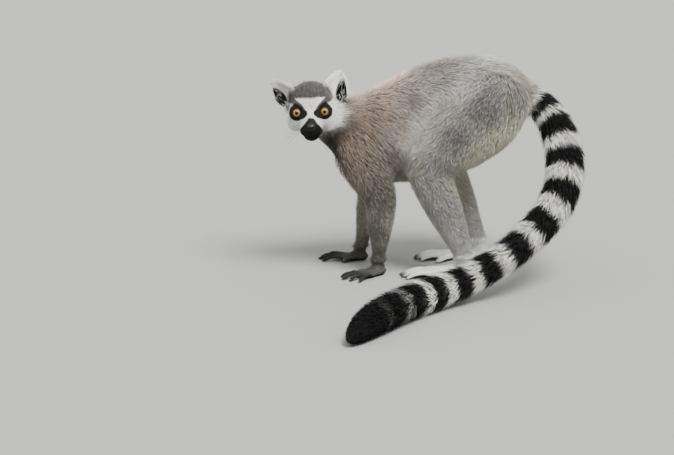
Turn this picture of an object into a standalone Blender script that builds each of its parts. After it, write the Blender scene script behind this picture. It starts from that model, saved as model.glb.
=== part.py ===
"""A ring-tailed lemur, life size: it stands on all fours, with its head turned to its left and its tail
coming down behind it and forward along the floor.

The animal faces -X and its left side is -Y. Outlines run out to the tips of the coat. Each soft shape is
modelled whole from overlapping lofts and ellipsoids, which a voxel Remesh fuses, and is then parted with
thin plane cuts at the joints.
"""

import math

import bmesh
import bpy
from mathutils import Matrix, Vector

CM = 0.01
GAP = 0.0004  # between neighbouring pieces
FLOOR_DIP = 0.0012  # how far soles, palms and tail are modelled below the floor, which cuts them flat
BIG = 1.0  # side of the box that stands for a half-space
X_AXIS, Y_AXIS, Z_AXIS = Vector((1, 0, 0)), Vector((0, 1, 0)), Vector((0, 0, 1))
SIDES = {"left": -1, "right": 1}

# Driving dimensions, in centimetres.
HEAD_AT = (-16.6, -3.6, 23.45)  # middle of the skull, between and behind the eyes
HEAD_DOWN, HEAD_ROLL = 3.5, 2.75  # degrees: muzzle down, left side up
# In the head's own frame: ahead, to its left and up.
EYE_AT, EYE_RADIUS = (1.88, 1.86, 0.0), 0.82
NOSE_AT, NOSE_RADII = (5.5, 0.0, -1.02), (0.46, 0.62, 0.46)
# Ears: root, tip, half width, and the degrees by which they open outwards.
EARS = {
    "left": {"root": (-0.8, 2.85, 0.7), "tip": (-1.2, 4.1, 4.75), "half_width": 1.8, "turn": 6.0},
    "right": {"root": (-0.8, -2.5, 0.9), "tip": (-1.2, -5.0, 4.0), "half_width": 1.6, "turn": 15.0},
}
EAR_WALL, EAR_ROOM = 0.26, 0.8  # and how far the neck keeps away from an ear, in walls
EAR_CUP = 62.0  # degrees: half the arc of the leaf's cross-section
EAR_TIP_FLATTER = 0.4  # share of the arc that is lost at the tip
EAR_ROOT_SHARE, EAR_FULL_AT = 0.66, 0.45  # width at the root, and share of the height where it is full
EAR_ROUNDING = (2.4, 0.6)  # powers that shape the tip's outline
# The turned neck pushes out the left cheek: distance of its middle from the midline, and half width.
CHEEKS = {"left": (2.0, 1.95), "right": (1.85, 1.45)}
CHEEK_AT, CHEEK_RADII = (0.2, -0.75), (2.2, 1.95)  # ahead and up; along and in height
# Round masses of the head: centre and radii.
HEAD_MASSES = {
    "brain case": ((-0.4, 0, 0.60), (3.3, 2.95, 2.9)),
    "forehead": ((1.1, 0, 1.2), (1.9, 1.9, 1.45)),
    "nape and throat": ((-0.8, 0, -1.2), (2.6, 2.8, 2.0)),
    "lower jaw": ((1.7, 0, -1.75), (2.7, 1.8, 1.2)),
    "chin": ((3.9, 0, -2.52), (1.08, 1.0, 0.88)),
}
# The same on either side, with the distance from the midline in the middle.
PAIRED_MASSES = {
    "rim of the eye socket": ((1.3, 1.76, 0.1), (1.15, 1.2, 1.25)),
    "whisker pad": ((4.2, 0.52, -1.8), (1.05, 0.95, 0.98)),
}
# Muzzle stations: centre and radius.
MUZZLE = [(1.5, 0, -0.6, 1.9), (2.9, 0, -0.98, 1.55), (4.1, 0, -1.3, 1.27), (5.0, 0, -1.42, 0.95)]

# Trunk stations: distance along X, height of the back, height of the belly, half width.
TRUNK = [
    (-13.1, 21.0, 16.6, 1.9),
    (-11.8, 23.2, 14.2, 3.9),
    (-8.4, 25.2, 12.4, 5.1),
    (-4.0, 27.1, 12.1, 5.6),
    (0.0, 28.9, 13.0, 5.7),
    (4.0, 30.3, 15.0, 5.6),
    (8.0, 30.5, 17.6, 5.3),
    (11.2, 28.9, 19.6, 4.4),
    (13.4, 26.7, 21.6, 3.0),
]
# Neck stations: centre, half depth, half width.
NECK = [
    (-9.8, -0.3, 19.6, 4.5, 4.5),
    (-12.0, -0.9, 20.7, 4.1, 4.0),
    (-13.9, -1.5, 21.6, 3.4, 3.5),
    (-15.7, -2.1, 22.4, 2.9, 3.0),
]
NECK_CUT = (-11.7, -0.9, 20.6)

# Hind legs. The right one stands a little further back.
HIND = {
    "left": {
        "hip": (9.0, -3.7, 24.0),
        "knee": (-0.9, -5.7, 15.9),
        "ankle": (4.6, -4.8, 3.0),
        "heel": (6.1, -4.7),
    },
    "right": {
        "hip": (9.0, 3.7, 24.0),
        "knee": (0.9, 5.7, 15.9),
        "ankle": (6.8, 4.8, 3.0),
        "heel": (8.3, 4.7),
    },
}
# Share along each bone, half depth across the limb in the side view, half width.
THIGH_RADII = [(-0.12, 4.2, 3.0), (0.15, 5.4, 3.5), (0.55, 4.9, 3.3), (0.97, 3.1, 2.7)]
SHANK_RADII = [(0.28, 2.95, 2.3), (0.52, 2.6, 2.0), (0.76, 2.05, 1.6), (0.95, 1.6, 1.35), (1.14, 1.4, 1.25)]
HIP_CUT_Y = 3.0
FOOT_HEADING = {"left": 4.0, "right": -2.0}  # degrees that the toes turn out

# Arms.
FORE = {
    "left": {
        "shoulder": (-10.4, -3.4, 18.0),
        "elbow": (-6.9, -4.4, 10.8),
        "wrist": (-7.2, -4.0, 2.3),
        "palm": (-6.9, -4.0),
    },
    "right": {
        "shoulder": (-10.4, 3.4, 18.0),
        "elbow": (-7.8, 4.4, 10.8),
        "wrist": (-9.6, 3.8, 2.3),
        "palm": (-9.3, 3.8),
    },
}
UPPER_ARM_RADII = [(-0.12, 3.2, 2.2), (0.2, 3.7, 2.5), (0.6, 3.1, 2.3), (0.98, 2.35, 2.0)]
FOREARM_RADII = [(0.3, 2.1, 1.8), (0.6, 1.65, 1.5), (0.85, 1.15, 1.2), (1.1, 0.95, 1.1)]
SHOULDER_CUT_Y = 2.7
HAND_HEADING = {"left": 38.0, "right": 8.0}

# Hand and foot, along their length from the wrist's or heel's end.
HAND = {
    "pad": [(0.1, 1.0, 0.95), (1.2, 1.12, 0.8), (2.5, 1.3, 0.66)],  # distance, half width, half height
    "base": 2.5,
    "digits": [(0.98, 3.1, 14.0), (0.36, 3.7, 5.0), (-0.26, 3.5, -5.0), (-0.86, 2.9, -16.0)],
    "thick": (0.40, 0.31),
    "thumb": (1.0, 0.45, 2.3, 48.0, 0.42),  # distance, towards the midline, length, degrees, radius
    "arch": 0.5,
}
FOOT = {
    "pad": [(0.5, 1.05, 1.15), (2.6, 1.0, 1.1), (4.9, 1.12, 0.92), (6.5, 1.32, 0.72)],
    "base": 6.5,
    "digits": [(0.92, 3.1, 9.0), (0.32, 3.8, 3.0), (-0.30, 3.7, -4.0), (-0.90, 3.2, -12.0)],
    "thick": (0.42, 0.33),
    "thumb": (4.4, 0.45, 3.4, 36.0, 0.55),
    "arch": 0.42,
}
DIGIT_TIP_DROP = 0.06  # the last joint of each digit rests this far lower than its own radius
DIGIT_ROOT = 0.5  # how far inside the pad a digit starts
# Stations of a digit: share of its length, share of its thinning from root to tip, share of the arch.
DIGIT_STATIONS = [(0, 0, 0.15), (0.35, 0, 1.0), (0.7, 0.5, 0.75), (1, 1, 0)]
THUMB_TAPER = 0.8  # its tip's radius against its root's
# The stump that carries a paw up to its joint: rises above the joint, and leans back down into the pad.
STUMP_RISE, STUMP_SWELL = 0.9, 1.05
STUMP_BEND, STUMP_LEAN = 0.55, (0.3, 0, 0.45)
STUMP_FOOT, STUMP_TAPER = (0.9, 0, 0.9), 0.8
WRIST_RADIUS, ANKLE_RADIUS = 1.0, 1.4
ANKLE_CUT = (0.15, 0, -1)  # the way that the cut at the ankle faces

# Tail stations: centre and radius. It leaves the rump, comes down behind and lies on the floor.
TAIL = [
    (12.2, 0.0, 25.0, 2.1),
    (14.0, -0.2, 24.3, 2.1),
    (15.8, -1.2, 22.7, 2.3),
    (17.4, -3.0, 20.3, 2.6),
    (18.1, -5.0, 17.9, 2.75),
    (18.2, -7.0, 15.5, 2.75),
    (17.4, -9.5, 12.6, 2.7),
    (15.7, -11.6, 10.3, 2.6),
    (13.0, -14.0, 7.9, 2.45),
    (9.6, -16.2, 5.6, 2.35),
    (6.2, -18.0, 3.9, 2.3),
    (2.9, -19.9, 2.7, 2.35),
    (-0.3, -22.8, 2.35, 2.45),
    (-3.2, -26.5, 2.35, 2.5),
    (-5.9, -30.4, 2.28, 2.42),
    (-8.3, -34.4, 2.05, 2.2),
    (-10.2, -38.0, 1.6, 1.7),
    (-11.2, -40.0, 1.1, 1.0),
]
TAIL_LENGTHS = 7
TAIL_CUT_X = 13.3

# How finely each soft shape is made: voxel in metres, rounds of smoothing, share of the faces kept.
GRAIN = {
    "torso": (0.0045, 14, 0.044),
    "head": (0.0022, 7, 0.062),
    "leg": (0.004, 6, 0.045),
    "arm": (0.0035, 5, 0.05),
    "paw": (0.0016, 2, 0.046),
    "tail": (0.004, 2, 0.039),
}
EAR_ROWS, EAR_COLUMNS = 8, 7
BALL_STEPS, MASS_STEPS = 2, 4
DOME_ANGLES = (30, 55, 75, 86)  # degrees: rings that round off a loft's ends

COLOURS = {
    "head": (0.62, 0.62, 0.60),
    "ear": (0.78, 0.78, 0.76),
    "nose": (0.02, 0.02, 0.02),
    "eye": (0.55, 0.26, 0.03),
    "neck": (0.10, 0.095, 0.085),
    "trunk": (0.32, 0.27, 0.22),
    "arm": (0.17, 0.15, 0.12),
    "leg": (0.27, 0.27, 0.25),
    "paw": (0.60, 0.60, 0.58),
    "tail": (0.12, 0.12, 0.12),
}
ROUGHNESS = {"eye": 0.1, "nose": 0.4}
FUR_ROUGHNESS = 0.9


def cm(values):
    """A vector of metres from one of centimetres."""
    return Vector(values) * CM


# ---- Scene, materials and cutters


def clear_scene():
    for obj in list(bpy.data.objects):
        bpy.data.objects.remove(obj)


def make_material(name):
    material = bpy.data.materials.new(name)
    material.use_nodes = True
    shader = material.node_tree.nodes["Principled BSDF"]
    shader.inputs["Base Color"].default_value = (*COLOURS[name], 1)
    shader.inputs["Roughness"].default_value = ROUGHNESS.get(name, FUR_ROUGHNESS)
    shader.inputs["Metallic"].default_value = 0.0
    return material


def new_object(name, mesh, colour=None, helper=False):
    obj = bpy.data.objects.new(name, mesh)
    bpy.context.scene.collection.objects.link(obj)
    if helper:
        obj.hide_render = True
        obj.display_type = "WIRE"
    if colour:
        mesh.materials.clear()
        mesh.materials.append(colour)
    return obj


def half_space(point, normal, margin=GAP / 2):
    """A cutter that fills everything further along normal than point, and this margin short of it."""
    normal = normal.normalized()
    bm = bmesh.new()
    bmesh.ops.create_cube(bm, size=BIG)
    mesh = bpy.data.meshes.new("half_space")
    bm.to_mesh(mesh)
    bm.free()
    cutter = new_object("half_space", mesh, helper=True)
    facing = normal.to_track_quat("Z", "Y").to_matrix().to_4x4()
    cutter.matrix_world = Matrix.Translation(point + normal * (BIG / 2 - margin)) @ facing
    return cutter


def both_sides(point, normal):
    """The two cutters that part a shape in a plane: one that clears ahead of it, one behind."""
    return half_space(point, normal), half_space(point, -normal)


# ---- Lofts and fused shapes


def smooth_rows(stations, steps):
    """Catmull-Rom rows through the stations, all their numbers alike."""
    rows = [Vector(s) for s in stations]
    ends = [2 * rows[0] - rows[1], *rows, 2 * rows[-1] - rows[-2]]
    out = []
    for a, b, c, d in zip(ends, ends[1:], ends[2:], ends[3:]):
        for i in range(steps):
            t = i / steps
            curve = (2 * a - 5 * b + 4 * c - d) * t**2 + (3 * b - a - 3 * c + d) * t**3
            out.append(0.5 * (2 * b + (c - a) * t + curve))
    return [*out, rows[-1]]


def add_ring(bm, centre, across, other, segments):
    turns = [2 * math.pi * i / segments for i in range(segments)]
    return [bm.verts.new(centre + across * math.cos(t) + other * math.sin(t)) for t in turns]


def add_loft(bm, rows, side=Y_AXIS, segments=20):
    """A tube with round ends through rows of (x, y, z, half depth, half width) in metres, its width along side."""
    centres = [Vector(row[:3]) for row in rows]
    rings = []
    for i, row in enumerate(rows):
        tangent = (centres[min(i + 1, len(rows) - 1)] - centres[max(i - 1, 0)]).normalized()
        across = (side - side.project(tangent)).normalized()
        other = tangent.cross(across)
        rings.append((centres[i], across * row[4], other * row[3], tangent))
    rings = [*dome(rings[0], -1)[::-1], *rings, *dome(rings[-1], 1)]
    loops = [add_ring(bm, c, a, o, segments) for c, a, o, _ in rings]
    for low, high in zip(loops, loops[1:]):
        for i in range(segments):
            j = (i + 1) % segments
            bm.faces.new((low[i], low[j], high[j], high[i]))
    bm.faces.new(loops[0][::-1])
    bm.faces.new(loops[-1])


def dome(ring, direction):
    """Rings that close a loft's end as half an ellipsoid."""
    centre, across, other, tangent = ring
    reach = direction * min(across.length, other.length)
    rings = []
    for angle in DOME_ANGLES:
        near, far = math.cos(math.radians(angle)), math.sin(math.radians(angle))
        rings.append((centre + tangent * reach * far, across * near, other * near, tangent))
    return rings


def add_ball(bm, matrix, centre, radii):
    """An ellipsoid at centre with these radii, both in centimetres in the frame that matrix gives."""
    place = matrix @ Matrix.Translation(cm(centre)) @ Matrix.Diagonal((*cm(radii), 1))
    bmesh.ops.create_icosphere(bm, subdivisions=MASS_STEPS, radius=1, matrix=place)


def add_chain(bm, matrix, rows, side=Y_AXIS, segments=16):
    """A tapered round rod through rows of (x, y, z, radius), in centimetres in the frame that matrix gives."""
    points = [(matrix @ cm(r[:3]), r[3] * CM) for r in rows]
    lofted = [Vector((*p, r, r)) for p, r in points]
    add_loft(bm, smooth_rows(lofted, 3), side=side, segments=segments)


def fused(name, bm, grain):
    """One closed shape from overlapping ones: voxel Remesh, Smooth, then Decimate down to the share kept."""
    voxel, smoothing, keep = GRAIN[grain]
    mesh = bpy.data.meshes.new(name)
    bmesh.ops.recalc_face_normals(bm, faces=bm.faces)
    bm.to_mesh(mesh)
    bm.free()
    clay = new_object(name, mesh, helper=True)
    remesh = clay.modifiers.new("Remesh", "REMESH")
    remesh.mode, remesh.voxel_size = "VOXEL", voxel
    smooth = clay.modifiers.new("Smooth", "SMOOTH")
    smooth.factor, smooth.iterations = 0.5, smoothing
    thin = clay.modifiers.new("Decimate", "DECIMATE")
    thin.ratio = keep
    bpy.context.view_layer.update()
    made = bpy.data.meshes.new_from_object(clay.evaluated_get(bpy.context.evaluated_depsgraph_get()))
    made.name = name
    bpy.data.objects.remove(clay)
    return made


def carved(name, mesh, cutters, colour=None, grow=0.0):
    """An object with this mesh, grown by a gap where it is a cutter itself, less each cutter."""
    obj = new_object(name, mesh.copy(), colour, helper=colour is None)
    add_growth_and_cuts(obj, grow, cutters)
    return obj


def add_growth_and_cuts(obj, grow, cutters):
    if grow:
        swell = obj.modifiers.new("Grow", "DISPLACE")
        swell.mid_level, swell.strength = 0.0, grow
    for cutter in cutters:
        cut = obj.modifiers.new("Cut", "BOOLEAN")
        cut.operation, cut.solver, cut.object = "DIFFERENCE", "EXACT", cutter


def finish_round(obj):
    obj.data.shade_smooth()


# ---- Torso: trunk and neck


def torso_mesh():
    bm = bmesh.new()
    rows = [
        Vector((x * CM, 0, (top + bottom) / 2 * CM, (top - bottom) / 2 * CM, half * CM))
        for x, top, bottom, half in TRUNK
    ]
    add_loft(bm, smooth_rows(rows, 4), segments=28)
    neck = [Vector(row) * CM for row in NECK]
    add_loft(bm, smooth_rows(neck, 4), segments=24)
    return fused("torso_shape", bm, "torso")


def make_torso(colours, limbs, head):
    mesh = torso_mesh()
    along_neck = cm(NECK[2][:3]) - cm(NECK[0][:3])
    ahead, behind = both_sides(cm(NECK_CUT), along_neck)
    tail_cut = half_space(tail_station(TAIL_CUT_X), tail_start_direction())
    carved("trunk", mesh, [ahead, tail_cut, *limbs], colours["trunk"])
    carved("neck", mesh, [behind, *limbs, *head], colours["neck"])


# ---- Head


def head_matrix():
    roll, down = math.radians(-HEAD_ROLL), math.radians(HEAD_DOWN)
    turn = Matrix.Rotation(roll, 4, "Y") @ Matrix.Rotation(down, 4, "X")
    # In the head's own frame +X is ahead, +Y is the animal's left and +Z is up; ahead turns to face -Y.
    return Matrix.Translation(cm(HEAD_AT)) @ turn @ Matrix.Rotation(math.radians(-90), 4, "Z")


def head_mesh():
    bm = bmesh.new()
    m = head_matrix()
    for centre, radii in HEAD_MASSES.values():
        add_ball(bm, m, centre, radii)
    for side, s in SIDES.items():
        middle, half = CHEEKS[side]
        add_ball(bm, m, (CHEEK_AT[0], -s * middle, CHEEK_AT[1]), (CHEEK_RADII[0], half, CHEEK_RADII[1]))
        for (ahead, away, up), radii in PAIRED_MASSES.values():
            add_ball(bm, m, (ahead, -s * away, up), radii)
    add_chain(bm, m, MUZZLE, side=m.to_3x3() @ Y_AXIS, segments=24)
    return fused("head_shape", bm, "head")


def ear_outline(share):
    """An ear's half width at this share of its height, against its greatest."""
    widening = EAR_ROOT_SHARE + (1 - EAR_ROOT_SHARE) * math.sin(math.pi / 2 * min(share / EAR_FULL_AT, 1))
    near_tip, narrowing = EAR_ROUNDING
    return widening * max(1 - share**near_tip, 0.002) ** narrowing


def ear_mesh(side):
    """A cupped leaf that opens forward and a little outwards; the Solidify that follows gives it its wall."""
    m, s, ear = head_matrix(), -SIDES[side], EARS[side]
    root, tip = cm(ear["root"]), cm(ear["tip"])
    up = (tip - root).normalized()
    ahead = (X_AXIS - X_AXIS.project(up)).normalized()
    open_way = Matrix.Rotation(math.radians(ear["turn"]) * s, 3, up) @ ahead
    across = up.cross(open_way)
    bm = bmesh.new()
    grid = []
    for i in range(EAR_ROWS):
        share = math.sin(math.pi / 2 * i / (EAR_ROWS - 1))
        wide = ear["half_width"] * CM * ear_outline(share)
        bend = math.radians(EAR_CUP) * (1 - EAR_TIP_FLATTER * share)
        line = []
        for j in range(EAR_COLUMNS):
            turn = bend * (2 * j / (EAR_COLUMNS - 1) - 1)
            sideways = wide * math.sin(turn) / math.sin(bend)
            hollow = wide * (math.cos(turn) - math.cos(bend)) / math.sin(bend)
            line.append(bm.verts.new(m @ (root.lerp(tip, share) + across * sideways - open_way * hollow)))
        grid.append(line)
    for low, high in zip(grid, grid[1:]):
        for i in range(EAR_COLUMNS - 1):
            bm.faces.new((low[i], low[i + 1], high[i + 1], high[i]))
    mesh = bpy.data.meshes.new(f"ear_{side}_leaf")
    bmesh.ops.recalc_face_normals(bm, faces=bm.faces)
    bm.to_mesh(mesh)
    bm.free()
    return mesh


def ear_object(side, colour, head_room):
    obj = new_object(f"ear_{side}", ear_mesh(side), colour)
    wall = obj.modifiers.new("Wall", "SOLIDIFY")
    wall.thickness, wall.offset = EAR_WALL * CM, 0.0
    add_growth_and_cuts(obj, 0, [head_room])
    return obj


def ear_room(side):
    """The room that the neck leaves free for an ear: the hull of its leaf, grown by its wall and a gap."""
    bm = bmesh.new()
    bm.from_mesh(ear_mesh(side))
    points = [v.co.copy() for v in bm.verts]
    bm.clear()
    for point in points:
        bm.verts.new(point)
    hull = bmesh.ops.convex_hull(bm, input=bm.verts)
    inner = [v for v in hull["geom_interior"] if isinstance(v, bmesh.types.BMVert)]
    bmesh.ops.delete(bm, geom=inner, context="VERTS")
    bmesh.ops.recalc_face_normals(bm, faces=bm.faces)
    mesh = bpy.data.meshes.new(f"ear_{side}_hull")
    bm.to_mesh(mesh)
    bm.free()
    return carved(f"ear_{side}_room", mesh, [], grow=EAR_WALL * EAR_ROOM * CM + GAP)


def make_head(colours):
    """The head with its eyes, nose and ears. It returns what the neck has to leave room for."""
    mesh, m = head_mesh(), head_matrix()
    room = [carved("head_room", mesh, [], grow=GAP)]
    beds = []
    for side, s in SIDES.items():
        eye = (EYE_AT[0], -s * EYE_AT[1], EYE_AT[2])
        beds.append(make_ball(f"eye_{side}", eye, (EYE_RADIUS,) * 3, m, colours["eye"]))
        ear_object(side, colours["ear"], room[0])
        room.append(ear_room(side))
    beds.append(make_ball("nose", NOSE_AT, NOSE_RADII, m, colours["nose"]))
    carved("head", mesh, beds, colours["head"])
    return room


def make_ball(name, centre, radii, matrix, colour):
    """An ellipsoid, and the slightly larger cutter of its bed, which this returns."""
    for grow, paint in ((0.0, colour), (GAP / CM, None)):
        bm = bmesh.new()
        size = [(r + grow) * CM for r in radii]
        place = matrix @ Matrix.Translation(cm(centre)) @ Matrix.Diagonal((*size, 1))
        bmesh.ops.create_icosphere(bm, subdivisions=BALL_STEPS, radius=1, matrix=place)
        mesh = bpy.data.meshes.new(name)
        bm.to_mesh(mesh)
        bm.free()
        made = new_object(name if paint else f"{name}_bed", mesh, paint, helper=paint is None)
    return made


# ---- Limbs


def limb_rows(joints, radii):
    """Rows through a bent limb of two bones, in metres."""
    rows = []
    for a, b, shares in zip(joints, joints[1:], radii):
        a, b = cm(a), cm(b)
        rows += [Vector((*a.lerp(b, share), depth * CM, width * CM)) for share, depth, width in shares]
    return smooth_rows(rows, 4)


def bend_way(above, joint, below):
    """The way that a limb runs through its middle joint, halfway between its two bones."""
    return (joint - above).normalized() + (below - joint).normalized()


def inner_cuts(away, s):
    """Cutters that end a limb this far from the midline: its own, and that of the room the trunk leaves it."""
    point, inward = cm((0, away, 0)), Vector((0, -s, 0))
    return half_space(point, inward, 0), half_space(point, inward, -GAP)


def make_leg(side, colours, floor):
    s, leg = SIDES[side], HIND[side]
    bm = bmesh.new()
    rows = limb_rows([leg["hip"], leg["knee"], leg["ankle"]], [THIGH_RADII, SHANK_RADII])
    add_loft(bm, rows, segments=24)
    mesh = fused(f"leg_{side}_shape", bm, "leg")
    knee, ankle = cm(leg["knee"]), cm(leg["ankle"])
    below_knee, above_knee = both_sides(knee, bend_way(cm(leg["hip"]), knee, ankle))
    below_ankle, above_ankle = both_sides(ankle, Vector(ANKLE_CUT))
    inside, inside_grown = inner_cuts(s * HIP_CUT_Y, s)
    carved(f"thigh_{side}", mesh, [below_knee, inside], colours["leg"])
    carved(f"shank_{side}", mesh, [above_knee, below_ankle], colours["leg"])
    foot = paw_mesh(f"foot_{side}", FOOT, leg["heel"], FOOT_HEADING[side], s, leg["ankle"], ANKLE_RADIUS)
    carved(f"foot_{side}", foot, [above_ankle, floor], colours["paw"])
    return carved(f"thigh_space_{side}", mesh, [inside_grown], grow=GAP)


def make_arm(side, colours, floor):
    s, arm = SIDES[side], FORE[side]
    bm = bmesh.new()
    rows = limb_rows([arm["shoulder"], arm["elbow"], arm["wrist"]], [UPPER_ARM_RADII, FOREARM_RADII])
    add_loft(bm, rows, segments=24)
    mesh = fused(f"arm_{side}_shape", bm, "arm")
    elbow, wrist = cm(arm["elbow"]), cm(arm["wrist"])
    below_elbow, above_elbow = both_sides(elbow, bend_way(cm(arm["shoulder"]), elbow, wrist))
    below_wrist, above_wrist = both_sides(wrist, -Z_AXIS)
    inside, inside_grown = inner_cuts(s * SHOULDER_CUT_Y, s)
    carved(f"upper_arm_{side}", mesh, [below_elbow, inside], colours["arm"])
    carved(f"forearm_{side}", mesh, [above_elbow, below_wrist], colours["arm"])
    hand = paw_mesh(f"hand_{side}", HAND, arm["palm"], HAND_HEADING[side], s, arm["wrist"], WRIST_RADIUS)
    carved(f"hand_{side}", hand, [above_wrist, floor], colours["paw"])
    return carved(f"arm_space_{side}", mesh, [inside_grown], grow=GAP)


def paw_mesh(name, shape, heel, heading, s, joint, joint_radius):
    """A hand or foot, flat on the floor: a pad, four digits, a thumb or great toe, and a stump to the joint."""
    # In the paw's frame +X runs to the fingertips and +Y to the midline of the body.
    turn = Matrix.Rotation(math.radians(180 - s * heading), 4, "Z")
    m = Matrix.Translation(cm((*heel, 0))) @ turn @ Matrix.Diagonal((1, s, 1, 1))
    to_side = m.to_3x3() @ Y_AXIS
    dip = FLOOR_DIP / CM
    bm = bmesh.new()
    pad = [Vector((*(m @ cm((x, 0, high - dip))), high * CM, wide * CM)) for x, wide, high in shape["pad"]]
    add_loft(bm, smooth_rows(pad, 4), side=to_side, segments=24)
    top = m.inverted() @ cm(joint) / CM
    stump = [
        (*(top + Vector((0, 0, STUMP_RISE))), joint_radius * STUMP_SWELL),
        (*top, joint_radius),
        (*(top * STUMP_BEND + Vector(STUMP_LEAN)), joint_radius),
        (*STUMP_FOOT, joint_radius * STUMP_TAPER),
    ]
    add_chain(bm, m, stump, side=to_side, segments=20)
    for across, length, splay in shape["digits"]:
        start = (shape["base"] - DIGIT_ROOT, across)
        add_digit(bm, m, start, length + DIGIT_ROOT, splay, shape["thick"], shape["arch"], to_side)
    along, across, length, splay, radius = shape["thumb"]
    radii = (radius, radius * THUMB_TAPER)
    add_digit(bm, m, (along, across), length, splay, radii, shape["arch"] / 2, to_side)
    return fused(f"{name}_shape", bm, "paw")


def add_digit(bm, m, start, length, splay, radii, arch, to_side):
    """A digit that leaves the pad at a height, arches and comes down to rest on its tip."""
    along, across = start
    thick, fine = radii
    rows = []
    for share, thinning, lift in DIGIT_STATIONS:
        radius = thick + (fine - thick) * thinning
        ahead = along + math.cos(math.radians(splay)) * length * share
        aside = across + math.sin(math.radians(splay)) * length * share
        sunk = DIGIT_TIP_DROP + (FLOOR_DIP / CM if lift == 0 else 0)
        rows.append((ahead, aside, radius - sunk + arch * lift, radius))
    add_chain(bm, m, rows, side=to_side, segments=14)


# ---- Tail


def tail_rows():
    return smooth_rows([Vector((*cm(s[:3]), s[3] * CM, s[3] * CM)) for s in TAIL], 6)


def tail_station(x):
    """The first point of the tail's middle line that is this far back, in centimetres."""
    return next(Vector(r[:3]) for r in tail_rows() if r[0] >= x * CM)


def tail_start_direction():
    rows = tail_rows()
    i = next(i for i, r in enumerate(rows) if r[0] >= TAIL_CUT_X * CM)
    return (Vector(rows[i + 1][:3]) - Vector(rows[i - 1][:3])).normalized()


def make_tail(colours, floor):
    rows = tail_rows()
    first = next(i for i, r in enumerate(rows) if r[0] >= TAIL_CUT_X * CM)
    bm = bmesh.new()
    add_loft(bm, rows, side=Z_AXIS.cross(X_AXIS), segments=20)
    mesh = fused("tail_shape", bm, "tail")
    stops = [first + round((len(rows) - 1 - first) * i / TAIL_LENGTHS) for i in range(TAIL_LENGTHS)]
    cuts = []
    for i in stops:
        along = (Vector(rows[i + 1][:3]) - Vector(rows[i - 1][:3])).normalized()
        cuts.append((Vector(rows[i][:3]), along))
    for i, (point, along) in enumerate(cuts):
        cutters = [half_space(point, -along), floor]
        if i + 1 < len(cuts):
            cutters.append(half_space(*cuts[i + 1]))
        carved(f"tail_{i + 1}", mesh, cutters, colours["tail"])


# ---- The whole animal


def centre_on_floor(nodes):
    """Moves everything so that the origin lies on the floor, under the middle of the box round the animal."""
    graph = bpy.context.evaluated_depsgraph_get()
    corners = []
    for obj in nodes:
        done = obj.evaluated_get(graph)
        corners += [done.matrix_world @ Vector(c) for c in done.bound_box]
    middle = Vector([(min(c[i] for c in corners) + max(c[i] for c in corners)) / 2 for i in range(2)] + [0])
    for obj in bpy.context.scene.objects:
        obj.matrix_world = Matrix.Translation(-middle) @ obj.matrix_world


def main():
    clear_scene()
    colours = {name: make_material(name) for name in COLOURS}
    floor = half_space(Vector(), -Z_AXIS, 0)
    head = make_head(colours)
    legs = [make_leg(side, colours, floor) for side in SIDES]
    arms = [make_arm(side, colours, floor) for side in SIDES]
    make_torso(colours, [*legs, *arms], head)
    make_tail(colours, floor)
    nodes = [obj for obj in bpy.context.scene.objects if not obj.hide_render]
    for obj in nodes:
        finish_round(obj)
    bpy.context.view_layer.update()
    centre_on_floor(nodes)


main()
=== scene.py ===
"""Looks of the ring-tailed lemur: one skin inside the solids by the coat's depth, and solid tufts over it.

The tufts grow from the skin along the lie of the coat and reach out to the solids' surface. Skin and coat
take their markings from the same functions of place. Lengths are in metres, but the landmarks are in the
part's own design frame in centimetres, where the animal faces -X and its left side is -Y.
"""

import math

import bmesh
import bpy
import numpy as np
from mathutils import Matrix, Vector
from mathutils.bvhtree import BVHTree


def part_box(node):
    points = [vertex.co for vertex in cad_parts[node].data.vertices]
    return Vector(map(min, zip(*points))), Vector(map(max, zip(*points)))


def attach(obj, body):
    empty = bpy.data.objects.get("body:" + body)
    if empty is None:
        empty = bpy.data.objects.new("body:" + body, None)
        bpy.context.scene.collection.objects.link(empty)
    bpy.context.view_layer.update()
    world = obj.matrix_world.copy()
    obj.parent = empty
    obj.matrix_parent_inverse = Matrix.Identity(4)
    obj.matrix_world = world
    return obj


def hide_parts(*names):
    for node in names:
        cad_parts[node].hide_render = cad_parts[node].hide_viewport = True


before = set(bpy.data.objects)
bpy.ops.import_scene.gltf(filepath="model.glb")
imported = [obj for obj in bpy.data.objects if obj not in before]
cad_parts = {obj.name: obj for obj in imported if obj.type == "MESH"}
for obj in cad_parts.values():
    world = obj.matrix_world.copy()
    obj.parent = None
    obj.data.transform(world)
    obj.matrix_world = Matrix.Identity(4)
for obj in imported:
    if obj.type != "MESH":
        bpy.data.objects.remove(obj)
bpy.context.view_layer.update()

CM, MM = 0.01, 0.001

# ---- Landmarks of the design, as in the solids

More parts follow.
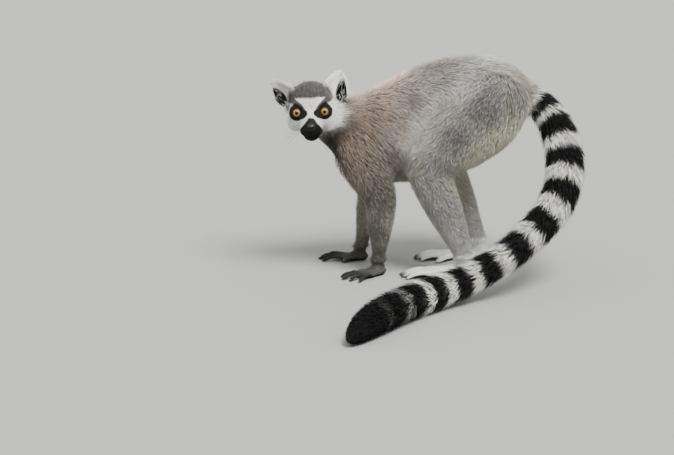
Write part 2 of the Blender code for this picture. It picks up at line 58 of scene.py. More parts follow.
HEAD_AT, HEAD_DOWN, HEAD_ROLL = (-16.6, -3.6, 23.45), 3.5, 2.75
EYE_AT, EYE_RADIUS = (1.88, 1.86, 0.0), 0.82
NOSE_AT, NOSE_RADII = (5.5, 0.0, -1.02), (0.46, 0.62, 0.46)
EARS = {
    "left": ((-0.8, 2.95, 0.6), (-1.2, 4.15, 4.75)),
    "right": ((-0.8, -2.6, 0.65), (-1.2, -5.0, 3.9)),
}
EAR_HALF_WIDTHS = {"left": 2.05, "right": 1.9}
EAR_TURNS = {"left": 6.0, "right": 15.0}  # degrees outwards
EAR_WALL = 0.30
EAR_CUP = 62.0  # degrees: half the arc of the leaf's cross-section
SIDES = {"left": -1, "right": 1}
LIMBS = {
    ("arm", "left"): [(-10.4, -3.4, 18.0), (-6.9, -4.4, 10.8), (-7.2, -4.0, 2.3)],
    ("arm", "right"): [(-10.4, 3.4, 18.0), (-7.8, 4.4, 10.8), (-9.6, 3.8, 2.3)],
    ("leg", "left"): [(9.0, -3.7, 24.0), (-0.9, -5.7, 15.9), (4.6, -4.8, 3.0)],
    ("leg", "right"): [(9.0, 3.7, 24.0), (0.9, 5.7, 15.9), (6.8, 4.8, 3.0)],
}
# Hands and feet: place of the heel, and heading in degrees outwards.
PAWS = {
    "hand_left": ((-6.9, -4.0), 38.0),
    "hand_right": ((-9.3, 3.8), 8.0),
    "foot_left": ((6.1, -4.7), 4.0),
    "foot_right": ((8.3, 4.7), -2.0),
}
# Distance from the heel to the knuckles, and each digit's place inwards, length and lean inwards in degrees.
DIGITS = {
    "hand": (2.5, [(0.98, 3.1, 14.0), (0.36, 3.7, 5.0), (-0.26, 3.5, -5.0), (-0.86, 2.9, -16.0)]),
    "foot": (6.5, [(0.92, 3.1, 9.0), (0.32, 3.8, 3.0), (-0.30, 3.7, -4.0), (-0.90, 3.2, -12.0)]),
}
TAIL = [
    *((12.2, 0.0, 25.0), (14.0, -0.2, 24.3), (15.8, -1.2, 22.7), (17.4, -3.0, 20.3), (18.1, -5.0, 17.9)),
    *((18.2, -7.0, 15.5), (17.4, -9.5, 12.6), (15.7, -11.6, 10.3), (13.0, -14.0, 7.9), (9.6, -16.2, 5.6)),
    *((6.2, -18.0, 3.9), (2.9, -19.9, 2.7), (-0.3, -22.8, 2.35), (-3.2, -26.5, 2.35), (-5.9, -30.4, 2.28)),
    *((-8.3, -34.4, 2.05), (-10.2, -38.0, 1.6), (-11.2, -40.0, 1.1)),
]
TAIL_CUT_X = 13.3


def head_turn():
    """The head's frame, +X ahead, +Y to its left and +Z up, as a rotation of the design frame."""
    turns = ((-HEAD_ROLL, "Y"), (HEAD_DOWN, "X"), (-90, "Z"))
    roll, down, left = (Matrix.Rotation(math.radians(angle), 3, axis) for angle, axis in turns)
    return roll @ down @ left


def middle(node):
    """The middle of a solid's box."""
    low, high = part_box(node)
    return (low + high) / 2


HEAD = np.array(head_turn())
EYES_DESIGN = np.array(HEAD_AT) * CM + HEAD @ np.array((EYE_AT[0], 0, EYE_AT[2])) * CM
SHIFT = np.array((middle("eye_left") + middle("eye_right")) / 2) - EYES_DESIGN


def place(point):
    """A point, or rows of points, of the design frame in the row frame, in metres."""
    return np.asarray(point, float) * CM + SHIFT


def in_design(points):
    return (points - SHIFT) / CM


def in_head(points):
    """Row-frame points in the head's own frame, in centimetres."""
    return (points - place(HEAD_AT)) @ HEAD / CM


def from_head(points):
    return place(HEAD_AT) + np.asarray(points, float) @ HEAD.T * CM


# ---- Small tools


def unit(vectors):
    return vectors / np.maximum(np.linalg.norm(vectors, axis=-1, keepdims=True), 1e-12)


def step(x, low, high):
    """0 below low, 1 above high and a smooth rise between them; low may be the larger."""
    t = np.clip((x - low) / (high - low), 0, 1)
    return t * t * (3 - 2 * t)


def bell(*terms):
    """1 where all values are at their middles, and less around; each term is values, middle and width."""
    return np.exp(-sum(((values - middle) / width) ** 2 for values, middle, width in terms))


def mix(a, b, share):
    """Colour a passing into colour b by this share at each point."""
    a, b = np.asarray(a), np.asarray(b)
    return a + (b - a) * np.asarray(share)[..., None]


def take_nearer(best, gap, kept, new):
    """Where gap is less than best, takes gap into best, and the new rows or the one new row into kept."""
    nearer = gap < best
    best[nearer] = gap[nearer]
    kept[nearer] = np.broadcast_to(new, kept.shape)[nearer]


def lattice_noise(points, size, seed):
    """Smooth noise from -1 to 1 at points, with bumps about this size."""
    cell = np.floor(points / size).astype(np.int64)
    part = points / size - cell
    part = part * part * (3 - 2 * part)
    total = np.zeros(len(points))
    for corner in np.ndindex(2, 2, 2):
        key = (cell + corner) * np.array([73856093, 19349663, 83492791])
        mixed = (key[:, 0] ^ key[:, 1] ^ key[:, 2] ^ (seed * 2654435761)) & 0xFFFFFFFF
        mixed = (mixed ^ (mixed >> 13)) * 1274126177 & 0xFFFFFFFF
        value = ((mixed ^ (mixed >> 16)) & 0xFFFF) / 32767.5 - 1
        weight = np.prod(np.where(corner, part, 1 - part), axis=1)
        total += value * weight
    return total


def catmull_rom(points, steps):
    """A smooth curve through the points, with this many steps from each to the next."""
    points = np.asarray(points, float)
    ends = [2 * points[0] - points[1], *points, 2 * points[-1] - points[-2]]
    out = []
    for a, b, c, d in zip(ends, ends[1:], ends[2:], ends[3:]):
        square, cube = 2 * a - 5 * b + 4 * c - d, 3 * b - a - 3 * c + d
        for t in np.arange(steps) / steps:
            out.append(0.5 * (2 * b + (c - a) * t + square * t**2 + cube * t**3))
    return np.array([*out, points[-1]])


def read(items, name, kind, width):
    """A property of a mesh's points, edges, faces or corners as an array, one row for each."""
    values = np.empty(len(items) * width, kind)
    items.foreach_get(name, values)
    return values.reshape(-1, width) if width > 1 else values


def mesh_of(name, points, faces):
    """A mesh of these points and faces, which all have the same number of corners."""
    mesh = bpy.data.meshes.new(name)
    mesh.vertices.add(len(points))
    mesh.vertices.foreach_set("co", np.ascontiguousarray(points, np.float32).ravel())
    mesh.loops.add(faces.size)
    mesh.loops.foreach_set("vertex_index", np.ascontiguousarray(faces, np.int32).ravel())
    mesh.polygons.add(len(faces))
    mesh.polygons.foreach_set("loop_start", np.arange(len(faces), dtype=np.int32) * faces.shape[1])
    mesh.update(calc_edges=True)
    return mesh


def paint(mesh, kind, name, values):
    """Gives each point of a mesh its value of a new attribute, of kind FLOAT_COLOR or FLOAT_VECTOR."""
    data = mesh.attributes.new(name, kind, "POINT").data
    data.foreach_set("color" if kind == "FLOAT_COLOR" else "vector", np.asarray(values, np.float32).ravel())


def opaque(colours):
    """Colours with a fourth channel of 1."""
    return np.concatenate([colours, np.ones((*colours.shape[:-1], 1))], -1)


def copies(template, count, each):
    """The faces of this many copies of a template whose points number each."""
    return (template[None] + (np.arange(count) * each)[:, None, None]).reshape(-1, 3)


def show(name, mesh, material=None, smooth=True):
    """A new object in the scene."""
    obj = bpy.data.objects.new(name, mesh)
    bpy.context.scene.collection.objects.link(obj)
    if material:
        mesh.materials.append(material)
    if smooth:
        mesh.shade_smooth()
    return obj


def fit(piece, slot, *replaced):
    """Puts a piece on the body, in place of these solids, which it hides. The slot is not used."""
    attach(piece, "root")
    if replaced:
        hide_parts(*replaced)


def modified(mesh, kind, **settings):
    """A new mesh: this one after one modifier."""
    obj = show("clay", mesh, smooth=False)
    modifier = obj.modifiers.new("Change", kind)
    for name, value in settings.items():
        if name == "weights":
            group = obj.vertex_groups.new(name="share")
            for i in np.flatnonzero(value):
                group.add([int(i)], 1.0, "REPLACE")
            modifier.vertex_group = group.name
        else:
            setattr(modifier, name, value)
    bpy.context.view_layer.update()
    made = bpy.data.meshes.new_from_object(obj.evaluated_get(bpy.context.evaluated_depsgraph_get()))
    bpy.data.objects.remove(obj)
    return made


class Surface:
    """A mesh's points, edges and triangles as arrays, with what is worked out from them."""

    def __init__(self, mesh):
        mesh.calc_loop_triangles()
        self.points = read(mesh.vertices, "co", np.float32, 3).astype(float)
        self.edges = read(mesh.edges, "vertices", np.int32, 2)
        self.triangles = read(mesh.loop_triangles, "vertices", np.int32, 3)
        self.loops = read(mesh.loop_triangles, "loops", np.int32, 3)
        start, end = self.edges.T
        self.beside = np.concatenate([end, start])[np.argsort(np.concatenate([start, end]), kind="stable")]
        self.degree = np.bincount(self.edges.ravel(), minlength=len(self.points))
        self.first = np.concatenate([[0], np.cumsum(self.degree)[:-1]])

    def normals(self):
        return point_normals(self.points, self.triangles)

    def averaged(self, values):
        """Each point's mean of its neighbours' values."""
        return np.add.reduceat(values[self.beside], self.first, axis=0) / self.degree[:, None]

    def spread(self, values, times, share=0.6):
        """Values, evened out along the surface this many times."""
        for _ in range(times):
            values = values + share * (self.averaged(values) - values)
        return values


# ---- Regions of the coat

REGIONS = {
    "head": ["head", "eye_left", "eye_right", "nose"],
    "ear": ["ear_left", "ear_right"],
    "neck": ["neck"],
    "trunk": ["trunk"],
    "arm": ["upper_arm_left", "upper_arm_right", "forearm_left", "forearm_right"],
    "leg": ["thigh_left", "thigh_right", "shank_left", "shank_right"],
    "hand": ["hand_left", "hand_right"],
    "foot": ["foot_left", "foot_right"],
    "tail": [f"tail_{i}" for i in range(1, 8)],
}
NAMES = list(REGIONS)
FINE = ("head", "ear", "hand", "foot")
# Regions whose coats pass into each other over a longer way, and over how many rounds of evening out.
BLENDS = [(("neck", "trunk", "arm", "leg"), 70), (("arm", "hand"), 40), (("leg", "foot"), 40)]


def node_arrays(node):
    """A solid's points, welded, and its triangles."""
    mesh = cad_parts[node].data
    mesh.calc_loop_triangles()
    points = read(mesh.vertices, "co", np.float32, 3).astype(float)
    faces = read(mesh.loop_triangles, "vertices", np.int32, 3)
    _, first, index = np.unique(np.round(points / 1e-5), axis=0, return_index=True, return_inverse=True)
    faces = index.reshape(-1)[faces]
    whole = (faces[:, 0] != faces[:, 1]) & (faces[:, 1] != faces[:, 2]) & (faces[:, 0] != faces[:, 2])
    return points[first], faces[whole]


class Solids:
    """All the solids' triangles, with a search for the nearest region."""

    def __init__(self):
        self.pieces = {region: [node_arrays(node) for node in nodes] for region, nodes in REGIONS.items()}
        pieces = [(region, *piece) for region in REGIONS for piece in self.pieces[region]]
        points, faces = joined([(found, corners) for _, found, corners in pieces])
        self.owners = np.concatenate([[NAMES.index(region)] * len(corners) for region, _, corners in pieces])
        self.tree = BVHTree.FromPolygons(points.tolist(), faces.tolist())

    def regions_of(self, points):
        return self.owners[[self.tree.find_nearest(p)[2] for p in points]]


def joined(pieces):
    """The points and triangles of several meshes as one."""
    starts = np.cumsum([0] + [len(points) for points, _ in pieces[:-1]])
    faces = [corners + start for (_, corners), start in zip(pieces, starts)]
    return np.vstack([points for points, _ in pieces]), np.vstack(faces)


def share_in(shares, *names):
    """Each point's share of these regions together."""
    return shares[:, [NAMES.index(name) for name in names]].sum(1)


def shares_of(surface, solids, times, further=()):
    """Each point's share of each region, evened out across the borders, and further within some groups."""
    shares = surface.spread(np.eye(len(NAMES))[solids.regions_of(surface.points)], times)
    for names, more in further:
        group = [NAMES.index(name) for name in names]
        whole = shares[:, group].sum(1, keepdims=True)
        parts = surface.spread(shares[:, group], more)
        shares[:, group] = parts / np.maximum(parts.sum(1, keepdims=True), 1e-9) * whole
    return shares


def point_normals(points, faces):
    """Each point's normal, from the triangles at it by their area."""
    a, b, c = (points[faces[:, i]] for i in range(3))
    across = np.cross(b - a, c - a)
    total = np.empty_like(points)
    for axis in range(3):
        total[:, axis] = np.bincount(faces.ravel(), np.repeat(across[:, axis], 3), len(points))
    return unit(total)


def swollen(points, faces, reach):
    """The piece, pushed out this far along its own normals."""
    return points + point_normals(points, faces) * reach, faces


# ---- Tail, limbs and other directions

TAIL_PATH = place(catmull_rom(TAIL, 12))
TAIL_AHEAD = unit(np.gradient(TAIL_PATH, axis=0))
TAIL_DISTANCE = np.concatenate([[0], np.cumsum(np.linalg.norm(np.diff(TAIL_PATH, axis=0), axis=1))]) / CM
TAIL_DISTANCE -= TAIL_DISTANCE[np.argmax(TAIL_PATH[:, 0] >= place((TAIL_CUT_X, 0, 0))[0])]
WHORL = (5.4, 0, -0.9)  # where the hair of the head spreads from, in its own frame
SWEEPS = {"arm": (0.126, 0, 0), "leg": (0.378, 0, -0.056)}  # how far the hair lies off the way down the bone


def nearest_on_tail(points):
    """The index of the tail path's nearest point to each point."""
    parts = np.array_split(points, len(points) // 4096 + 1)
    return np.concatenate([((part[:, None] - TAIL_PATH[None]) ** 2).sum(2).argmin(1) for part in parts])


def along_tail(points):
    """Centimetres along the tail from its root."""
    i = nearest_on_tail(points)
    return TAIL_DISTANCE[i] + ((points - TAIL_PATH[i]) * TAIL_AHEAD[i]).sum(1) / CM


def limb_direction(points, kind):
    """The lie of the coat on arms or legs: down the nearer bone, and swept back."""
    best, chosen = np.full(len(points), np.inf), np.zeros_like(points)
    for side in SIDES:
        joints = place(LIMBS[kind, side])
        for a, b in zip(joints, joints[1:]):
            t = np.clip(((points - a) @ (b - a)) / ((b - a) @ (b - a)), 0, 1)
            gap = np.linalg.norm(points - a - t[:, None] * (b - a), axis=1)
            take_nearer(best, gap, chosen, unit(unit(b - a) + SWEEPS[kind]))
    return chosen


def ear_frame(side):
    """Root, unit way up, unit way across and the way the cup opens, in the head's frame."""
    root, tip = (np.array(p) for p in EARS[side])
    up = unit(tip - root)
    ahead = unit(np.array((1.0, 0, 0)) - up * up[0])
    turn = Matrix.Rotation(math.radians(EAR_TURNS[side]) * -SIDES[side], 3, Vector(up))
    opening = np.array(turn @ Vector(ahead))
    return root, up, np.cross(up, opening), opening, np.linalg.norm(tip - root)


def paw_frame(name):
    """Heel, unit way to the fingertips and unit way to the body's midline, for a hand or foot."""
    heel, heading = PAWS[name]
    side = SIDES[name.rsplit("_")[1]]
    turn = math.radians(180 - side * heading)
    ahead = np.array((math.cos(turn), math.sin(turn), 0))
    inward = np.array((-math.sin(turn), math.cos(turn), 0)) * side
    return place((*heel, 0)), ahead, inward


def paw_way(points):
    """The lie of the hair on the nearest hand or foot: towards the fingertips."""
    best, way = np.full(len(points), np.inf), np.zeros_like(points)
    for name in PAWS:
        heel, ahead, _ = paw_frame(name)
        gap = np.linalg.norm(points[:, :2] - (heel + ahead * 4 * CM)[:2], axis=1)
        take_nearer(best, gap, way, ahead + (0, 0, -0.25))
    return way


def lie_of_coat(points, normals, shares):
    """The unit direction in which the hair lies at each point, along the surface."""
    head = in_head(points)
    ear = np.zeros_like(points)
    for side in SIDES:
        up = ear_frame(side)[1]
        own = (head[:, 1] > 0) == (side == "left")
        # Up the leaf, and outwards from its rim.
        out = (normals @ HEAD) * (0, 0.9, 0) + np.array((0, 0.3 * -SIDES[side], 0))
        ear[own] = ((up + out) @ HEAD.T)[own]
    ways = {kind: limb_direction(points, kind) for kind in SWEEPS}
    ways["head"], ways["ear"] = (head - WHORL) @ HEAD.T, ear
    ways["neck"] = np.array((1.0, 0.15, -0.45))
    ways["trunk"] = np.array((1.0, 0, 0)) + np.outer(np.abs(normals[:, 1]), (0, 0, -0.5))
    ways["hand"] = ways["foot"] = paw_way(points)
    ways["tail"] = TAIL_AHEAD[nearest_on_tail(points)]
    total = sum(unit(ways[name]) * shares[:, i : i + 1] for i, name in enumerate(NAMES))
    return unit(total - normals * (total * normals).sum(1, keepdims=True))


# ---- Depth of the coat: how far the skin lies inside the solids, in millimetres

DEPTHS = {"head": 5.0, "ear": 0.7, "neck": 7.0, "trunk": 7.0, "hand": 0.1, "foot": 0.3}
ARM_DEPTHS, LEG_DEPTHS = (6.0, 2.3), (6.5, 2.6)  # at the top and at the wrist or ankle


def limb_share(points, kind):
    """0 at the top of an arm or leg and 1 at its wrist or ankle, by height."""
    joints = LIMBS[kind, "left"]
    return np.clip((joints[0][2] - in_design(points)[:, 2]) / (joints[0][2] - joints[2][2]), 0, 1)


def face_depth(head):
    """Depth of the coat on the head, from places in its own frame."""
    ahead, side, up = head.T
    back = 2.5 + 1.8 * step(ahead, 1.6, -1.0)
    cheeks = 3.2 * bell((ahead, 0.2, 1.4), (np.abs(side), 3.0, 1.1), (up, -1.0, 1.5))
    depth = (back + cheeks) * step(ahead, 3.6, 1.6) + 0.6
    brows = [np.array((EYE_AT[0] + 0.3, s * EYE_AT[1], EYE_AT[2])) for s in (-1, 1)]
    eyes = [np.linalg.norm(head - brow, axis=1) for brow in brows]
    return np.minimum(depth, 0.7 + 4.0 * step(np.minimum(*eyes), 1.2, 2.6))


def coat_depth(points, shares):
    """The coat's depth at each point."""
    fields = {name: np.full(len(points), value) for name, value in DEPTHS.items()}
    fields["head"] = face_depth(in_head(points))
    for kind, (high, low) in (("arm", ARM_DEPTHS), ("leg", LEG_DEPTHS)):
        fields[kind] = high + (low - high) * limb_share(points, kind) ** 0.8
    height = in_design(points)[:, 2]
    for kind, limb, low, high in (("hand", ARM_DEPTHS, 0.7, 1.35), ("foot", LEG_DEPTHS, 1.1, 1.9)):
        fields[kind] = DEPTHS[kind] + (limb[1] - DEPTHS[kind]) * step(height, low, high)
    distance = along_tail(points)
    fields["tail"] = 8.5 + 1.5 * step(distance, 2, 12) - 6.0 * step(distance, 48, 62)
    return sum(fields[name] * shares[:, i] for i, name in enumerate(NAMES))


# ---- Skin

VOXEL = 1.4 * MM
INSET_STEPS, SMOOTHINGS = 8, 8
ANKLES = {"hand": (0.7, 1.4), "foot": (1.1, 2.0)}  # heights over which a paw's clay fades into the limb's
DIGIT_VOXEL = 2.0 * MM  # clay finer than this keeps the digits
SWELLS = {"head": 0.5, "hand": 0.3, "foot": 0.3}  # millimetres; 2 elsewhere
BODY_VOXEL, HEAD_VOXEL, PAW_VOXEL = 3.2 * MM, 1.5 * MM, 1.2 * MM
PAW_ANKLES = 2.6  # millimetres that the fine clay of the paws lies deeper at their joints
EAR_ROWS, EAR_COLUMNS = 26, 17
EAR_ROOT = 0.22  # share of the ears' height that their roots reach into the head
BODY_KEEP = 0.2  # share of the body's triangles that the skin keeps; the face, ears and paws keep all
GAZE_UP, GAZE_OUT = 10.0, 4.0  # degrees that the eyes look above straight ahead, and outwards
LID_ANGLE, LID_BAND = 50.0, 48.0  # degrees from the gaze to the edge of the lids, and how wide they are
LID_THICKNESS = 0.11  # centimetres
FACE_MIDDLE, FACE_REACH = (3.8, 0, -0.7), (3.2, 3.2, 3.0)  # the box of the head in which the skin is finer


def eye_frame(side):
    """An eye's middle and its gaze, in the head's frame."""
    s = -SIDES[side]
    out, up = math.radians(GAZE_OUT) * s, math.radians(GAZE_UP)
    gaze = np.array((math.cos(out) * math.cos(up), math.sin(out) * math.cos(up), math.sin(up)))
    return np.array((EYE_AT[0], s * EYE_AT[1], EYE_AT[2])), gaze


def from_eye(head, side):
    """Distance from an eye's middle, the unit way from it, and degrees off its gaze."""
    centre, gaze = eye_frame(side)
    far = np.linalg.norm(head - centre, axis=1)
    way = (head - centre) / np.maximum(far, 1e-9)[:, None]
    return far, way, np.degrees(np.arccos(np.clip(way @ gaze, -1, 1)))


def lids(head):
    """Moves the head's points near the eyes to form the lids, and behind the eyeballs inside them."""
    for side in SIDES:
        centre, gaze = eye_frame(side)
        far, way, angle = from_eye(head, side)
        # Points beside the edge go onto it, so that it is one clean curve.
        edge = (far < EYE_RADIUS + 0.4) & (np.abs(angle - LID_ANGLE) < 2.2)
        flat = unit(way - gaze * (way @ gaze)[:, None])
        turn = math.radians(LID_ANGLE)
        way = np.where(edge[:, None], gaze * math.cos(turn) + flat * math.sin(turn), way)
        angle = np.where(edge, LID_ANGLE, angle)
        lid = EYE_RADIUS + LID_THICKNESS * (0.45 + 0.55 * step(angle, LID_ANGLE, LID_ANGLE + 7))
        target = np.where(angle < LID_ANGLE - 0.1, EYE_RADIUS - 0.1, lid)
        # The skin comes down onto the lids only near their edge, and rises to them over a wider band.
        down = 1 - step(angle, LID_ANGLE + 5, LID_ANGLE + 24)
        lift = 1 - step(angle, LID_ANGLE + 0.3 * LID_BAND, LID_ANGLE + LID_BAND)
        pull = np.where(target < far, down, lift) * (1 - step(far, 1.0, 1.55))
        radius = far + (target - far) * pull
        # Outside the edge the skin never sinks into the eyeball.
        radius = np.where(angle < LID_ANGLE - 0.1, radius, np.maximum(radius, lid))
        head = centre + way * radius[:, None]
    return head


def sculpted(points, normals, shares):
    """Adds the folds of the face to the head's skin: mouth, lip, bridge, brows, cheeks and lids."""
    head = in_head(points)
    ahead, side, up = head.T
    away = np.abs(side)
    mouth_height = -2.5 + 0.13 * (4.9 - ahead)
    front = step(ahead, 2.2, 3.2)
    groove = bell((up, mouth_height, 0.07)) * front
    lower = step(up, mouth_height + 0.05, mouth_height - 0.15) * front
    philtrum = bell((side, 0, 0.05)) * step(ahead, 5.2, 5.5)
    philtrum = philtrum * step(up, mouth_height, mouth_height + 0.1) * step(up, -1.1, -1.3)
    beside = bell((away, 0.85, 0.3), (ahead, 3.6, 0.8), (up, -0.7, 0.4))
    inward = 0.10 * groove + 0.07 * lower + 0.05 * philtrum + 0.10 * beside
    brow = 0.08 * bell((away, 1.75, 0.7), (ahead, 2.0, 0.8), (up, 1.05, 0.3))
    full = 0.14 * step(ahead, 3.0, 4.0) * step(up, -1.0, -1.5)
    full += 0.10 * step(ahead, 3.0, 4.2) * step(up, -2.5, -3.0)
    full += 0.20 * step(up, 1.6, 2.6) * step(ahead, 2.4, 1.2) * step(away, 2.6, 1.6)
    full += 0.62 * bell((ahead, 1.0, 1.2), (away, 2.4, 0.9), (up, -2.0, 0.9))
    share = share_in(shares, "head")
    head = head + (normals @ HEAD) * ((brow + full - inward) * share)[:, None]
    return np.where((share > 0.5)[:, None], from_head(lids(head)), points)


def shrunk(solids, swells, voxel, extra, smoothing, ankles=0.0):
    """Clay of some regions: swollen to close the gaps, fused, and shrunk to inside by the coat's depth. Paws
    shrink by ankles more near their joints, where the limbs' own clay takes over."""
    pieces = []
    for name, swell in swells.items():
        for piece in solids.pieces[name]:
            piece = swollen(*piece, swell * MM)
            # Only the finest clay keeps fingers and toes apart: in the coarse one they end at the knuckles.
            pieces.append(without_digits(piece) if voxel > DIGIT_VOXEL and name in DIGITS else piece)
    clay = Surface(modified(mesh_of("clay", *joined(pieces)), "REMESH", mode="VOXEL", voxel_size=voxel))
    shares = shares_of(clay, solids, 8)
    swell = shares @ np.array([swells.get(name, 0) for name in REGIONS])
    deeper = shares @ np.array([extra.get(name, 0) for name in REGIONS])
    height = in_design(clay.points)[:, 2]
    for kind, (low, high) in ANKLES.items():
        deeper = deeper + ankles * step(height, low, high) * share_in(shares, kind)
    deeper = deeper + ankles * 0.8 * share_in(shares, "arm", "leg")
    depth = (coat_depth(clay.points, shares) + swell + deeper) * MM
    soft = np.clip(depth / (4 * MM), 0.2, 1.0)[:, None] * smoothing
    for _ in range(INSET_STEPS):
        clay.points = clay.points - clay.normals() * (depth / INSET_STEPS)[:, None]
        clay.points = clay.points + soft * (clay.averaged(clay.points) - clay.points)
    return clay.points, clay.triangles


def without_digits(piece):
    """A hand or foot whose digits are flattened back onto its knuckles."""
    points, faces = piece
    centre = points.mean(0)
    name = min(PAWS, key=lambda paw: np.linalg.norm((paw_frame(paw)[0] - centre)[:2]))
    heel, ahead, _ = paw_frame(name)
    over = (points - heel) @ ahead - DIGITS[name.split("_")[0]][0] * CM
    return points - np.outer(np.maximum(over, 0), ahead), faces


def ear_piece(side):
    """A cupped leaf, open ahead and outwards, whose root reaches into the head."""
    root, up, across, opening, height = ear_frame(side)
    leaf = np.sin(np.linspace(0, math.pi / 2, EAR_ROWS))
    shares = np.concatenate([np.linspace(-EAR_ROOT, 0, 6)[:-1], leaf])
    columns = np.linspace(-1, 1, EAR_COLUMNS)
    layers = []
    for face in (1, -1):
        for share in shares:
            wide = 0.66 + 0.34 * math.sin(math.pi / 2 * np.clip(share / 0.45, 0, 1))
            wide *= EAR_HALF_WIDTHS[side] * max(1 - max(share, 0) ** 1.8, 0.002) ** 0.72
            bend = math.radians(EAR_CUP) * (1 - 0.4 * max(share, 0))
            turn = bend * columns
            sideways = wide * np.sin(turn) / math.sin(bend)
            hollow = wide * (np.cos(turn) - math.cos(bend)) / math.sin(bend)
            wall = face * EAR_WALL / 2 * (0.75 + 0.25 * np.sqrt(1 - columns**2))
            line = root + up * height * share + np.outer(sideways + wall * np.sin(turn) * -1, across)
            layers.append(line - np.outer(hollow - wall * np.cos(turn), opening))
    points = from_head(np.vstack(layers))
    front, back = np.arange(len(points)).reshape(2, len(shares), EAR_COLUMNS)
    quads = [
        (front[:-1, :-1], front[:-1, 1:], front[1:, 1:], front[1:, :-1]),
        (back[:-1, :-1], back[1:, :-1], back[1:, 1:], back[:-1, 1:]),
        (front[:-1, 0], front[1:, 0], back[1:, 0], back[:-1, 0]),
        (front[:-1, -1], back[:-1, -1], back[1:, -1], front[1:, -1]),
        (front[0, :-1], back[0, :-1], back[0, 1:], front[0, 1:]),
        (front[-1, :-1], back[-1, :-1], back[-1, 1:], front[-1, 1:]),
    ]
    quads = np.vstack([np.stack(corners, -1).reshape(-1, 4) for corners in quads])
    return points, np.vstack([quads[:, [0, 1, 2]], quads[:, [0, 2, 3]]])


def make_skin_mesh(solids):
    """One closed skin, inside the solids by the coat's depth, and each point's share of each region."""
    body = {name: SWELLS.get(name, 2.0) for name in REGIONS if name != "ear"}
    head, paws = ({name: SWELLS[name] for name in names} for names in (["head"], DIGITS))
    clay = [shrunk(solids, body, BODY_VOXEL, {"hand": 0.6, "foot": 0.6, "head": 1.0}, smoothing=0.5)]
    clay.append(shrunk(solids, head, HEAD_VOXEL, {}, smoothing=0.3))
    clay.append(shrunk(solids, paws, PAW_VOXEL, {}, smoothing=0.2, ankles=PAW_ANKLES))
    clay += [ear_piece(side) for side in SIDES]
    skin = modified(mesh_of("clay", *joined(clay)), "REMESH", mode="VOXEL", voxel_size=VOXEL)
    skin = Surface(largest_shell(skin))
    shares = shares_of(skin, solids, 4)
    fine = share_in(shares, *FINE)
    border = (fine > 0.02) & (fine < 0.98)
    soft = np.where((fine > 0.5) & ~border, 0.25, 0.6)[:, None]
    soft = np.maximum(soft, 0.45 * share_in(shares, "ear")[:, None])
    for _ in range(SMOOTHINGS):
        skin.points = skin.points + soft * (skin.averaged(skin.points) - skin.points)
    skin.points[:, 2] = np.maximum(skin.points[:, 2], 0.0)
    mesh = mesh_of("skin", skin.points, skin.triangles)
    keep = BODY_KEEP + (1 - BODY_KEEP) * (fine > 0.5).mean()
    mesh = divided_face(modified(mesh, "DECIMATE", ratio=keep, weights=fine <= 0.5))
    skin = Surface(mesh)
    shares = shares_of(skin, solids, 10, BLENDS)
    skin.points = sculpted(skin.points, skin.normals(), shares)
    mesh.vertices.foreach_set("co", skin.points.astype(np.float32).ravel())
    return mesh, shares


def largest_shell(mesh):
    """The mesh without its smaller separate shells."""
    surface = Surface(mesh)
    label = np.arange(len(surface.points))
    while True:
        lower = np.minimum(label, np.minimum.reduceat(label[surface.beside], surface.first))
        lower = lower[lower]
        if (lower == label).all():
            break
        label = lower
    kept = label == np.bincount(label).argmax()
    number = np.cumsum(kept) - 1
    faces = surface.triangles[kept[surface.triangles[:, 0]]]
    return mesh_of("skin", surface.points[kept], number[faces])


def divided_face(mesh):
    """The mesh with the face's faces split in four."""
    bm = bmesh.new()
    bm.from_mesh(mesh)
    bm.verts.ensure_lookup_table()
    head = in_head(np.array([v.co for v in bm.verts]))
    near = (np.abs(head - FACE_MIDDLE) < FACE_REACH).all(1)
    edges = [e for e in bm.edges if near[e.verts[0].index] and near[e.verts[1].index]]
    bmesh.ops.subdivide_edges(bm, edges=edges, cuts=1, use_grid_fill=True, smooth=0.0)
    made = bpy.data.meshes.new("skin")
    bm.to_mesh(made)
    bm.free()
    return made


# ---- Markings and some painted shade, as linear colours

WHITE, OFF_WHITE, CREAM = (0.86, 0.86, 0.83), (0.80, 0.78, 0.70), (0.52, 0.50, 0.36)
BLACK = (0.0045, 0.0042, 0.004)
CROWN, FOREHEAD, CHEEK = (0.098, 0.096, 0.093), (0.90, 0.89, 0.86), (0.84, 0.84, 0.79)
EYE_PATCH, MUZZLE, BRIDGE = (0.010, 0.009, 0.009), (0.009, 0.009, 0.0085), (0.022, 0.0215, 0.0215)
EAR_HOLLOW = (0.006, 0.0055, 0.005)
# HAND: the grey fur over the hands, made darker than its own colour with painted shade.
HAND, FINGERS, SOLE = (0.085, 0.082, 0.068), (0.030, 0.028, 0.025), (0.02, 0.018, 0.017)
FOOT, TOES = (0.86, 0.86, 0.83), (0.10, 0.095, 0.09)
